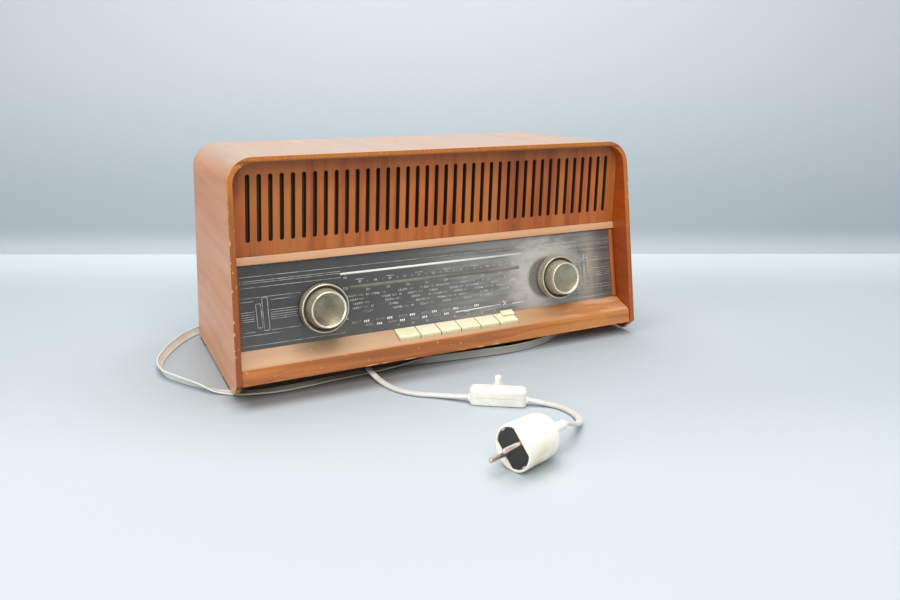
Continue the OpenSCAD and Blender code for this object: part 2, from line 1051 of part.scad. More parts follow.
module transformer(x, y, w, d, h) {
    leg = w / 6;
    translate([x, front_y + y, chassis_z + weld]) {
        color(dark)
            translate([0, 0, h / 2])
                cube([w, d * 0.6, h], center = true);
        color(brown)
            translate([0, 0, h / 2])
                cube([w - 2 * leg - 1, d, h - 2 * leg - 1], center = true);
    }
}

module mains_transformer() {
    transformer(chassis_half - core_w / 2 - 11, chassis_y1 - core_d / 2 - 14, core_w, core_d, core_h);
}

module output_transformer() {
    small_y = chassis_y0 + small_core_d / 2 + 8;
    transformer(small_core_w / 2 + 6 - chassis_half, small_y, small_core_w, small_core_d, small_core_h);
}

rod_x = -10;
rod_y = chassis_y1 - 11;
rod_z = chassis_z + 69;
rod_r = 5;
rod_l = 160;
rod_post = 76;
winding_l = 34;

module ferrite_rod() {
    color(dark)
        translate([rod_x, front_y + rod_y, rod_z])
            rotate([0, 90, 0])
                cylinder(r = rod_r, h = rod_l, center = true);
    color(brown) {
        translate([rod_x - rod_l / 2 + winding_l, front_y + rod_y, rod_z])
            rotate([0, 90, 0])
                cylinder(r = rod_r + 2.5, h = winding_l, center = true);
        for (side = [-1, 1])
            translate([rod_x + side * rod_post, front_y + rod_y, (chassis_z + rod_z + 7) / 2])
                cube([5, 3, rod_z + 7 - chassis_z - 2 * weld], center = true);
    }
}

// Socket panel in the window of the back cover: three pairs of sockets on two posts from the chassis
socket_xs = [-64, -52, -32, -20, 0, 12];
post_xs = [-42, -10];
socket_len = 13;
panel_out = cover_out_y;
post_l = panel_out - 1 - weld - front_y - chassis_y1;

module socket_panel() {
    difference() {
        union() {
            color(brown)
                translate([window_x, panel_out - 1.4, window_z])
                    cube([window_w - 0.8, 2, window_h - 0.8], center = true);
            color(brass)
                for (x = socket_xs)
                    translate([x, panel_out, window_z])
                        turned_in([[0, -socket_len], [3.4, -socket_len], [3.4, 0], [0, 0]]);
            color(steel)
                for (x = post_xs)
                    translate([x, panel_out - 1, window_z])
                        turned_in([[0, -post_l], [2.6, -post_l], [2.6, 0], [0, 0]]);
        }
        for (x = socket_xs)
            translate([x, panel_out, window_z])
                turned_in([[0, -socket_len - 1], [socket_r, -socket_len - 1], [socket_r, 1], [0, 1]]);
    }
}

// Mains gland: a flanged grommet through the cover and a tapered sleeve round the lead
sleeve_l = 26;

module mains_gland() {
    color(cream)
        translate([gland_x, cover_out_y, gland_z])
            turned_in([
                [0, -back_t - 3],
                [gland_r + 1.4, -back_t - 3],
                [gland_r + 1.4, -back_t - 0.3],
                [gland_r, -back_t - 0.3],
                [gland_r, 0.05],
                [gland_r + 3, 0.05],
                [gland_r + 3, 2],
                [gland_r + 0.5, 3],
                [mains_w / 2 + 0.6, sleeve_l],
                [0, sleeve_l]
            ]);
}

// Leads: hand-chosen points joined by a smooth curve, with a flat section that leans by an angle
function spline(p, a, b, c, t) = 0.5 * (2 * a + (b - p) * t + (2 * p - 5 * a + 4 * b - c) * t * t
    + (3 * a - p - 3 * b + c) * t * t * t);
function smooth(q, n) = [
    for (i = [0 : len(q) - 2], k = [0 : n - 1])
        spline(q[max(i - 1, 0)], q[i], q[i + 1], q[min(i + 2, len(q) - 1)], k / n),
    q[len(q) - 1]
];
function unit(v) = v / norm(v);
function heading(q, i) = unit(q[min(i + 1, len(q) - 1)] - q[max(i - 1, 0)]);
function flat_ring(c, dir, lean, w, t) =
    let (right = unit([dir[1], -dir[0], 0]), up = cross(right, dir))
    let (u = cos(lean) * right + sin(lean) * up, v = cross(u, dir))
    [for (p = [[1, 0.5], [1, -0.5], [0.7, -1], [-0.7, -1], [-1, -0.5], [-1, 0.5], [-0.7, 1], [0.7, 1]])
        c + u * p[0] * w / 2 + v * p[1] * t / 2];

module tube(rings) {
    n = len(rings[0]);
    m = len(rings);
    polyhedron(
        points = [for (r = rings, p = r) p],
        faces = [
            [for (k = [n - 1 : -1 : 0]) k],
            [for (k = [0 : n - 1]) (m - 1) * n + k],
            for (i = [0 : m - 2], k = [0 : n - 1])
                [i * n + k, i * n + (k + 1) % n, (i + 1) * n + k],
            for (i = [0 : m - 2], k = [0 : n - 1])
                [i * n + (k + 1) % n, (i + 1) * n + (k + 1) % n, (i + 1) * n + k]
        ]
    );
}

// Each point is x, y, least height of the centre and the lean of the flat section
function lying(lean, w, t) = w / 2 * sin(lean) + t / 2 * cos(lean) + 0.15;

module lead(points, w, t) {
    q = smooth(points, 2);
    c = [for (p = q) [p[0], p[1], max(p[2], lying(p[3], w, t))]];
    tube([for (i = [0 : len(q) - 1]) flat_ring(c[i], heading(c, i), q[i][3], w, t)]);
}

low = mains_t / 2 + 0.1;
coil_x = 70;
coil_y = 182;
coil_in_r = 30;
coil_step = mains_w + 0.9;
coil_turns = 2;
coil_out_r = coil_in_r + coil_turns * coil_step;
coil_rise = mains_t + 0.6;

rear_route = [
    [gland_x, cover_out_y + sleeve_l, gland_z, 0],
    [150, 143, 45, 0], [150, 158, 36, 0], [150, 174, 20, 0], [148, 190, 8, 0],
    [142, 206, 2.6, 0], [129, 219, 2.2, 0], [110, 225, low, 0], [90, 226.4, low, 0],
    [coil_x, coil_y + coil_out_r, low, 0]
];
front_route = [
    [coil_x, coil_y - coil_out_r, low + coil_rise, 0],
    [80, 137.2, 6.2, 0], [95, 134, 4.6, 0], [110, 124, 2.8, 0], [114, 108, low, 0], [104, 90, low, 0],
    [76, 68, low, 0], [40, 42, low, 0], [0, 14, low, 0], [-38, -14, low, 0], [-70, -42, low, 0],
    [-90, -68, 2.4, 0], [-98, -90, 4.6, 0], [-99, -106, 3.8, 0], [-97.5, -125, 2.3, 0],
    [-94, -144, low, 0], [-87, -160, low, 0], [-76, -173, low, 0], [-62, -184, 2.4, 0],
    [-50, -196, 3.6, 0], [-41.5, -204.5, 4.8, 0], [-38.1, -207.8, 5, 0]
];
plug_route = [
    [7.1, -238.2, 5, 0], [11, -240.8, 4.8, 0], [19, -246.4, 3.2, 0], [27, -254, low, 0],
    [32, -265, low, 0],
    [33, -279, low, 0], [29, -292, 3.4, 0], [20.5, -303.5, 6, 0], [10, -312.3, 10.4, 0],
    [0.6, -318.6, 15.4, 0], [-6.1, -322.3, 18.6, 0],
    [-9.5, -323.5, 19, 0]
];
ribbon_route = [
    [-58, 123.2, 47, 0], [-58, 132, 46.5, 0], [-60, 145, 40, 4], [-67, 157, 27, 12], [-82, 166, 14, 30],
    [-104, 168, 7.4, 50], [-135, 163, 5, 62], [-170, 152, 5, 64], [-210, 136, 5, 64],
    [-247, 115, 5, 64], [-271, 83, 5, 62], [-287, 50, 5, 62], [-295.5, 20, 5, 62],
    [-294, -10, 5, 62], [-283, -34, 5, 62],
    [-266, -60, 4.2, 46], [-252, -76, 2, 12], [-237, -86, 0, 0], [-220, -94, 2.2, 14],
    [-196, -102, 4.6, 54], [-165, -101, 5.2, 76], [-135, -96, 2.4, 20], [-99, -93, 0, 0],
    [-66, -94, 2.4, 20], [-30, -98, 5, 62], [20, -104, 5.3, 72], [70, -108, 5.3, 72],
    [108, -102, 5.3, 72],
    [140, -88, 5.3, 72], [164, -62, 5.3, 72], [176, -28, 5.3, 72], [181, 10, 5, 62], [184, 50, 4, 40],
    [187, 90, 2, 12], [190, 124, 1.5, 4], [192, 146, 2.6, 0], [193, 160, 6.6, 0]
];

module mains_lead_rear() {
    color(cream)
        lead(rear_route, mains_w, mains_t);
}

module mains_lead_front() {
    color(cream)
        lead(front_route, mains_w, mains_t);
}

module mains_lead_plug() {
    color(cream)
        lead(plug_route, mains_w, mains_t);
}

module aerial_lead() {
    color("#ece6c8")
        lead(ribbon_route, ribbon_w, ribbon_t);
}

// Coil of the put-away length: spirals in on the table, climbs in half a turn, spirals out on top
coil_ring_n = 24;
coil_total = 2 * coil_turns + 0.5;

function coil_radius(t) = t < coil_turns ? coil_out_r - t * coil_step
    : t < coil_turns + 0.5 ? coil_in_r - coil_step * min(t - coil_turns, coil_turns + 0.5 - t)
    : coil_in_r + (t - coil_turns - 0.5) * coil_step;
function coil_height(t) = low + coil_rise * min(max((t - coil_turns) * 2, 0), 1);
function coil_point(t) =
    let (a = 90 + 360 * t, r = coil_radius(t))
    [coil_x + r * cos(a), coil_y + r * sin(a), coil_height(t)];
function six_ring(c, dir, w, t) =
    let (right = unit([dir[1], -dir[0], 0]), up = cross(right, dir))
    [for (a = [0 : 60 : 300]) c + right * cos(a) * w / 2 - up * sin(a) * t / 2];
coil_path = [
    for (i = [0 : round(coil_total * coil_ring_n)]) coil_point(i / coil_ring_n)
];
function six_gap(d) = norm([max(0, norm([d[0], d[1]]) - mains_w + mains_t), d[2]]) - mains_t;
coil_gaps = [
    for (i = [0 : len(coil_path) - 1], j = [0 : len(coil_path) - 1])
        if (j - i > coil_ring_n / 2)
            six_gap(coil_path[j] - coil_path[i])
];
echo(least_gap_in_the_coil = min(coil_gaps));

module mains_coil() {
    color(cream)
        tube([
            for (i = [0 : len(coil_path) - 1])
                let (end = i == 0 || i == len(coil_path) - 1)
                let (dir = i == 0 ? [-1, 0, 0] : end ? [1, 0, 0] : heading(coil_path, i))
                six_ring(coil_path[i], dir, mains_w, mains_t)
        ]);
}

// Lead switch: two halves that part at a seam, and a button in a collar
switch_place = [-15.5, -223, 0];
switch_turn = -34;
switch_seam = 8;
button_r = 3.4;
button_top = switch_h + 11.5;
collar_h = 3.5;
chamber_r = 5.7;

module at_switch() {
    translate(switch_place)
        rotate([0, 0, switch_turn])
            children();
}

module switch_base() {
    color(cream)
        at_switch()
            difference() {
                linear_extrude(switch_seam - 0.02)
                    rounded(switch_l, switch_w, 6);
                translate([0, 0, 5])
                    cylinder(r = chamber_r, h = 10);
            }
}

module switch_cover() {
    color(cream)
        at_switch()
            difference() {
                union() {
                    intersection() {
                        translate([0, 0, switch_seam])
                            linear_extrude(switch_h - switch_seam)
                                rounded(switch_l, switch_w, 6);
                        along_y(-switch_w, switch_w)
                            arch(switch_l, 0, switch_h, 3);
                        rotate([0, 0, 90])
                            along_y(-switch_l, switch_l)
                                arch(switch_w, 0, switch_h, 3);
                    }
                    translate([0, 0, switch_h - 0.5])
                        cylinder(r1 = button_r + 3.2, r2 = button_r + 1.1, h = collar_h + 0.5);
                }
                cylinder(r = chamber_r, h = switch_h - 2);
                cylinder(r = button_r + 0.3, h = button_top);
            }
}

module switch_button() {
    color(cream)
        at_switch()
            rotate_extrude()
                polygon([
                    [0, switch_seam + 1],
                    [chamber_r - 0.4, switch_seam + 1],
                    [chamber_r - 0.4, switch_h - 2.3],
                    [button_r, switch_h - 2.3],
                    [button_r, button_top - 0.8],
                    [button_r - 0.8, button_top],
                    [0, button_top]
                ]);
}

// Mains plug: a round body, a dark insert with two flats, two pins and two earth clips
plug_place = [-71.5, -342.8, plug_r];
plug_turn = 197.3;
plug_roll = 42.6;
insert_r = plug_r - 2.2;
insert_half = 12;
insert_depth = 10;
insert_in = 1.2;
pin_l = 19;
shank_r = pin_r - 0.2;

module at_plug() {
    translate(plug_place)
        rotate([0, 0, plug_turn])
            rotate([plug_roll, 0, 0])
                children();
}

module insert_outline(gap) {
    intersection() {
        circle(r = insert_r + gap);
        square([2 * (insert_half + gap), 2 * plug_r], center = true);
    }
}

module facing(x0, x1) {
    translate([x0, 0, 0])
        rotate([90, 0, 90])
            linear_extrude(x1 - x0)
                children();
}

module plug_body() {
    color(cream)
        at_plug()
            difference() {
                rotate([0, 90, 0])
                    rotate_extrude()
                        polygon([
                            [0, -65],
                            [mains_w / 2 + 0.5, -65],
                            [mains_w / 2 + 1.6, -50],
                            [7, -46],
                            [11, -44.6],
                            [15, -41.5],
                            [plug_r - 1.2, -36],
                            [plug_r - 0.2, -31],
                            [plug_r, -27],
                            [plug_r, -0.8],
                            [plug_r - 0.7, 0],
                            [0, 0]
                        ]);
                facing(-insert_depth, 1)
                    insert_outline(0.1);
            }
}

module plug_insert() {
    color(dark)
        at_plug()
            difference() {
                facing(-insert_depth, -insert_in)
                    insert_outline(0);
                for (side = [-1, 1]) {
                    translate([-insert_depth - 1, side * pin_gap / 2, 0])
                        rotate([0, 90, 0])
                            cylinder(r = shank_r, h = insert_depth + 2);
                    translate([-insert_depth - 1, -2.2, side * (insert_r - 0.6) - 0.7])
                        cube([insert_depth + 2, 4.4, 1.4]);
                }
            }
}

module plug_contacts() {
    color(steel)
        at_plug()
            for (side = [-1, 1])
                translate([0, side * pin_gap / 2, 0])
                    rotate([0, 90, 0])
                        rotate_extrude()
                            polygon([
                                [0, 2 - insert_depth],
                                [shank_r, 2 - insert_depth],
                                [shank_r, -insert_in],
                                [pin_r, -insert_in],
                                [pin_r, pin_l - 1.4],
                                [pin_r - 1.2, pin_l],
                                [0, pin_l]
                            ]);
    color(brass)
        at_plug()
            for (side = [-1, 1])
                translate([-insert_depth / 2 - 0.4, 0, side * (insert_r - 0.7)])
                    cube([insert_depth - 1.2, 4, 1], center = true);
}

// Two-pin plugs at both ends of the ribbon: one in its pair of sockets, one lying behind the cabinet
socket_mid = (socket_xs[0] + socket_xs[1]) / 2;
socket_gap = socket_xs[1] - socket_xs[0];
aerial_body_l = 16;

module aerial_plug() {
    color(cream)
        along_y(0.2, aerial_body_l)
            rounded(25, 13, 3);
    color(brass)
        for (side = [-1, 1])
            translate([side * socket_gap / 2, 0, 0])
                turned_in([
                    [0, -11],
                    [socket_r - run - 0.6, -11],
                    [socket_r - run, -10],
                    [socket_r - run, 1],
                    [0, 1]
                ]);
}

module aerial_plugs() {
    translate([socket_mid, panel_out, window_z])
        aerial_plug();
    translate([194.2, 160 + aerial_body_l, 6.6])
        rotate([0, 0, -4])
            mirror([0, 1, 0])
                aerial_plug();
}

cabinet_shell();
back_battens();
glides();
bottom_board();
front_plinth();
divider_strip();
dial_battens();
speaker_baffle();
grille_cloth();
back_cover();
back_screws();
dial_glass();
dial_backplate();
pointer_rails();
fm_pointer();
am_pointer();
drive_drum();
dial_lamps();
left_inner_knob();
left_outer_knob();
right_inner_knob();
right_outer_knob();
left_inner_shaft();
left_outer_shaft();
right_inner_shaft();
right_outer_shaft();
volume_pot();
tuning_bearing();
key_1();
key_2();
key_3();
key_4();
key_5();
key_6();
key_switch_unit();
chassis();
tuning_capacitor();
tuning_rotor();
mains_transformer();
output_transformer();
valves();
screening_cans();
ferrite_rod();
socket_panel();
left_speaker();
right_speaker();
speaker_cones();
mains_gland();
mains_lead_rear();
mains_coil();
mains_lead_front();
mains_lead_plug();
switch_base();
switch_cover();
switch_button();
plug_body();
plug_insert();
plug_contacts();
aerial_lead();
aerial_plugs();
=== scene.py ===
"""Table radio with a slotted baffle, a glass dial, four knobs, six piano keys and two leads.

Run as a script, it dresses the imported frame: every visible piece is a surface worked out here or a
frame node with a finish of its own. Metres, with X to the right seen from the front and Z up.
"""
import math
from functools import cache, cached_property

import bmesh
import bpy
import numpy as np
from bpy.props import FloatProperty, FloatVectorProperty, IntProperty, PointerProperty
from mathutils import Matrix, Vector


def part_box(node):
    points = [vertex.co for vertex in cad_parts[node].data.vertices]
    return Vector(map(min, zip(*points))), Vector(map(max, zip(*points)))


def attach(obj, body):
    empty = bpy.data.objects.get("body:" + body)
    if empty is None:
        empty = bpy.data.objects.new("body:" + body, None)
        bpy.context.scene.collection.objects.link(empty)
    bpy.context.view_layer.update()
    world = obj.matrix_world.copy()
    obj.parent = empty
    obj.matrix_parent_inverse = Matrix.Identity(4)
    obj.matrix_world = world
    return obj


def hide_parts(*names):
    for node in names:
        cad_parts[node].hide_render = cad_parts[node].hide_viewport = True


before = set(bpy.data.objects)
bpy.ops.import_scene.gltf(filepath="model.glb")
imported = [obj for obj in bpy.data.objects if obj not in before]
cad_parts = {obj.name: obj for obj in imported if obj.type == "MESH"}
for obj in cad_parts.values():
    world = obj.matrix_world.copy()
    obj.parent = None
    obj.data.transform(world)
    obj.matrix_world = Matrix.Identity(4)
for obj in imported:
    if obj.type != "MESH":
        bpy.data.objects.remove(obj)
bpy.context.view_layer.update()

bl_info = {
    "name": "Table Radio",
    "version": (1, 0, 0),
    "blender": (4, 5, 0),
    "location": "View3D > Sidebar > Table Radio",
    "description": "Builds a wooden table radio with its dial, knobs, keys, leads and stage",
    "category": "Add Mesh",
}

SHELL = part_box("cabinet_shell")
MM = 0.001
KEY_COUNT = 6


def screen(red, green, blue):
    """Linear colour of a screen colour given from 0 to 255."""
    value = np.array([red, green, blue]) / 255
    return tuple(np.where(value <= 0.04045, value / 12.92, ((value + 0.055) / 1.055) ** 2.4))


def size(name, description, default, low=0.0, high=1.0):
    return FloatProperty(name=name, description=description, default=default, min=low, max=high,
                         subtype="DISTANCE", unit="LENGTH")


def tone(name, description, *default):
    return FloatVectorProperty(name=name, description=description, default=screen(*default), size=3,
                               min=0.0, max=1.0, subtype="COLOR")


class CabinetSettings(bpy.types.PropertyGroup):
    width: size("Width", "Outer width of the cabinet", SHELL[1].x - SHELL[0].x)
    height: size("Height", "Height of the top above the table", SHELL[1].z)
    depth: size("Depth", "Depth of the cabinet at the table", SHELL[1].y - SHELL[0].y)
    ply: size("Plywood", "Thickness of the bent plywood", 0.006)
    corner: size("Corner radius", "Outer radius of the two bent corners", 0.027)
    lean: size("Lean", "How far the front edge leans back at the top", 0.023)
    undercut_height: size("Undercut height", "Height of the undercut at the front of the sides", 0.013)
    undercut_depth: size("Undercut depth", "Depth of the undercut at the front of the sides", 0.016)
    clearance: size("Clearance", "Gap between the cabinet's inner wall and what fits in it", 0.0002)
    veneer: tone("Veneer", "Colour of the veneer on the sides and top", 210, 147, 104)
    veneer_dark: tone("Veneer grain", "Colour of the veneer's dark grain", 166, 104, 72)
    lacquer: tone("Inner wall", "Colour of the lacquered inner wall", 174, 76, 14)
    edge: tone("Front edge", "Colour of the lacquered front edge", 192, 116, 42)


class BaffleSettings(bpy.types.PropertyGroup):
    slots: IntProperty(name="Slots", description="Number of slots in the baffle", default=39, min=2, max=80)
    slot_width: size("Slot width", "Width of a slot", 0.0043)
    slot_end: size("Slot end", "Distance from the inner wall to the first slot's middle", 0.0165)
    wood_below: size("Wood below", "Height of wood left below the slots", 0.0145)
    wood_above: size("Wood above", "Height of wood left above the slots", 0.0126)
    thickness: size("Thickness", "Thickness of the baffle", 0.008)
    tilt: FloatProperty(name="Tilt", description="Tilt of the baffle, its top nearer the front",
                        default=math.radians(4.3), subtype="ANGLE", unit="ROTATION")
    set_back: size("Set back", "Depth of the baffle's lower edge behind the cabinet's front", 0.0394)
    wood: tone("Wood", "Main colour of the baffle", 200, 106, 38)
    streak: tone("Streak", "Colour of the baffle's dark streaks", 150, 72, 26)
    cloth: tone("Cloth", "Colour of the grille cloth", 74, 54, 32)


class DialSettings(bpy.types.PropertyGroup):
    tilt: FloatProperty(name="Tilt", description="Tilt of the dial, its top further back",
                        default=math.radians(7.5), subtype="ANGLE", unit="ROTATION")
    set_back: size("Set back", "Depth of the glass at the seam with the plinth", 0.0293)
    seam: size("Seam height", "Height of the seam between glass and plinth", 0.0408)
    height: size("Height", "Visible height of the glass along its slope", 0.0835)
    batten: size("Batten", "Width of the two battens at the ends of the glass", 0.006)
    glass: tone("Glass", "Colour of the dark back-painted glass", 68, 69, 70)
    ink: tone("Ink", "Colour of the white print", 226, 227, 222)
    band: tone("Band", "Colour of the olive band", 124, 126, 113)


class KnobSettings(bpy.types.PropertyGroup):
    distance: size("Distance", "Distance of the knobs from the cabinet's middle", 0.144)
    rise: size("Rise", "Height of the knobs above the seam along the glass", 0.0337)
    outer_radius: size("Outer radius", "Radius of an outer knob", 0.025)
    outer_stand: size("Outer stand", "How far an outer knob stands out of the glass", 0.014)
    inner_radius: size("Inner radius", "Radius of an inner knob", 0.0185)
    inner_stand: size("Inner stand", "How far an inner knob stands out of the glass", 0.026)
    ridges: IntProperty(name="Ridges", description="Number of knurled ridges round a knob", default=90,
                        min=12, max=200)
    metal: tone("Metal", "Colour of the satin nickel", 158, 151, 128)
    recess: tone("Recess", "Colour of the dark recess between the knobs", 134, 128, 108)


class KeySettings(bpy.types.PropertyGroup):
    pitch: size("Pitch", "Distance from key to key", 0.0245)
    gap: size("Gap", "Gap between two keys", 0.0007)
    middle: size("Middle", "Middle of the row of keys", 0.0072)
    rise: size("Rise", "Height of the keys above the plinth's slope", 0.0032)
    ivory: tone("Ivory", "Colour of the moulded keys", 251, 247, 219)


class LeadSettings(bpy.types.PropertyGroup):
    mains_width: size("Mains width", "Width of the flat mains lead", 0.0064)
    mains_thickness: size("Mains thickness", "Thickness of the flat mains lead", 0.0038)
    ribbon_width: size("Ribbon width", "Width of the ribbon aerial lead", 0.010)
    ribbon_thickness: size("Ribbon thickness", "Thickness of the ribbon's two edges", 0.0018)
    coil_radius: size("Coil radius", "Inner radius of the put-away coil", 0.030)
    mains: tone("Mains lead", "Colour of the mains lead", 216, 217, 216)
    ribbon: tone("Ribbon", "Colour of the ribbon lead", 236, 240, 236)
    plug: tone("Plug", "Colour of the mains plug", 251, 249, 238)


class StageSettings(bpy.types.PropertyGroup):
    floor: tone("Floor", "Colour of the floor", 172, 184, 194)
    wall_low: tone("Wall, low", "Colour of the backdrop near the table", 188, 204, 217)
    wall_high: tone("Wall, high", "Colour of the backdrop higher up", 207, 218, 228)
    light: FloatProperty(name="Light", description="Power of the overhead light", default=37.0, min=0.0,
                         unit="POWER")


SETTINGS = {"cabinet": CabinetSettings, "baffle": BaffleSettings, "dial": DialSettings, "knobs": KnobSettings,
            "keys": KeySettings, "leads": LeadSettings, "stage": StageSettings}


def settings(group):
    return getattr(bpy.context.scene, "radio_" + group)


# Surfaces


def joined(*parts):
    """The parts of a place, each a number or an array, spread over each other and put together."""
    return np.stack(np.broadcast_arrays(*parts), -1)


def closed(outline):
    """An outline with its first point again at its end."""
    return np.concatenate([outline, outline[:1]])


def weld(piece):
    """Joins doubled points, drops empty faces and turns every face outwards."""
    shape = bmesh.new()
    shape.from_mesh(piece.data)
    bmesh.ops.remove_doubles(shape, verts=shape.verts, dist=2e-6)
    bmesh.ops.dissolve_degenerate(shape, edges=shape.edges, dist=1e-7)
    bmesh.ops.recalc_face_normals(shape, faces=shape.faces)
    shape.to_mesh(piece.data)
    shape.free()


def piece_from(name, points, faces, uv=None, bands=None, finishes=(), sharp=30, welded=True):
    """One object from an array of points and lists of face corners, shaded smooth below the sharp angle."""
    mesh = bpy.data.meshes.new(name)
    mesh.from_pydata(points.reshape(-1, 3).tolist(), [], faces)
    if uv is not None:
        corner = np.empty(len(mesh.loops), np.int32)
        mesh.loops.foreach_get("vertex_index", corner)
        layer = mesh.uv_layers.new(name="Wrap")
        layer.data.foreach_set("uv", uv.reshape(-1, 2)[corner].astype(np.float32).ravel())
    if bands is not None:
        mesh.polygons.foreach_set("material_index", np.asarray(bands, np.int32))
    piece = bpy.data.objects.new(name, mesh)
    bpy.context.scene.collection.objects.link(piece)
    if welded:
        weld(piece)
    mesh.polygons.foreach_set("use_smooth", np.ones(len(mesh.polygons), bool))
    mesh.set_sharp_from_angle(angle=math.radians(sharp))
    for finish_name in finishes:
        mesh.materials.append(shared(finish_name))
    return piece


def grid_faces(rows, columns, first=0):
    """Corners of the cells between neighbouring rows and columns of a grid of points."""
    ids = first + np.arange(rows * columns).reshape(rows, columns)
    cells = np.stack([ids[:-1, :-1], ids[1:, :-1], ids[1:, 1:], ids[:-1, 1:]], -1)
    return cells.reshape(-1, 4).tolist(), ids


def surface(name, grid, caps=(), uv=None, bands=None, finishes=(), sharp=30):
    """A (rows, columns, 3) grid of points with one face per cell. caps are rows closed by one face, and
    bands is the finish number of each column of cells, with that of the caps at its end."""
    rows, columns = grid.shape[:2]
    faces, ids = grid_faces(rows, columns)
    marks = None
    if bands is not None:
        marks = list(bands[:columns - 1]) * (rows - 1) + [bands[-1]] * len(caps)
    faces += [ids[row, :-1].tolist() for row in caps]
    return piece_from(name, grid, faces, uv, marks, finishes, sharp)


def rail(name, outline, ends, finishes):
    """A closed (y, z) outline carried straight along X between two ends."""
    loop = closed(outline)
    grid = joined(np.reshape(ends, (2, 1)), loop[:, 0], loop[:, 1])
    return surface(name, grid, (0, 1), finishes=finishes)


def turned(name, outline, place, columns, finishes, bands=None, ripple=None):
    """An outline of (radius, distance) turned about an axis: the point at angle a is radius * (cos a, sin a)
    across the axis and distance along it. ripple adds to the radius, by row and angle. place sets it down,
    and bands is the finish number of each row of cells."""
    angle = np.linspace(0, 2 * np.pi, columns + 1)
    radius = outline[:, :1] + (ripple(outline, angle) if ripple else 0)
    grid = place(radius * np.cos(angle), outline[:, 1:], radius * np.sin(angle))
    faces, _ = grid_faces(*grid.shape[:2])
    return piece_from(name, grid, faces, None, np.repeat(bands, columns) if bands else None, finishes)


def rounded_outline(points, radii, steps=5):
    """A closed outline with each corner replaced by an arc: a quadratic curve from one side to the next."""
    points = np.asarray(points, float)
    radii = np.broadcast_to(radii, len(points))[:, None]
    start, stop = (points + side / np.linalg.norm(side, axis=1)[:, None] * radii
                   for side in (np.roll(points, 1, 0) - points, np.roll(points, -1, 0) - points))
    t = np.linspace(0, 1, steps)[None, :, None]
    curve = start[:, None] * (1 - t) ** 2 + 2 * points[:, None] * t * (1 - t) + stop[:, None] * t ** 2
    return curve.reshape(-1, 2)


def soften(piece, width, segments=2, angle=35):
    """Rounds the piece's sharp edges."""
    bevel = piece.modifiers.new("Soft edges", "BEVEL")
    bevel.width, bevel.segments = width, segments
    bevel.limit_method, bevel.angle_limit = "ANGLE", math.radians(angle)
    bevel.harden_normals = True
    return piece


def thicken(piece, thickness, offset=-1):
    """Gives a sheet its wall."""
    solid = piece.modifiers.new("Wall", "SOLIDIFY")
    solid.thickness, solid.offset = thickness, offset
    return piece


def fit(piece, body, slot, *nodes):
    """Sets a finished piece on its body, with the frame nodes that it stands for."""
    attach(piece, body)
    if nodes:
        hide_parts(*nodes)
    return piece


# Places


def front():
    return -settings("cabinet").depth / 2


def inner_half():
    cabinet = settings("cabinet")
    return cabinet.width / 2 - cabinet.ply


def on_dial(x, depth, rise):
    """Points given across the dial, into it and up its slope, in the frame of the whole radio."""
    dial = settings("dial")
    cos, sin = math.cos(dial.tilt), math.sin(dial.tilt)
    return joined(x, front() + dial.set_back + depth * cos + rise * sin, dial.seam - depth * sin + rise * cos)


def divider_top():
    dial = settings("dial")
    return dial.seam + dial.height * math.cos(dial.tilt) + 9.6 * MM


def on_baffle(x, depth, rise):
    """Points given across the baffle, into it and up its slope, in the frame of the whole radio."""
    baffle = settings("baffle")
    cos, sin = math.cos(baffle.tilt), math.sin(baffle.tilt)
    return joined(x, front() + baffle.set_back + depth * cos - rise * sin,
                  divider_top() + depth * sin + rise * cos)


# Finishes


def linear(shade):
    """Linear colour of a shade, which is a screen colour or the name of a setting."""
    if isinstance(shade, str):
        group, name = shade.split(".")
        return getattr(settings(group), name)
    return screen(*shade)


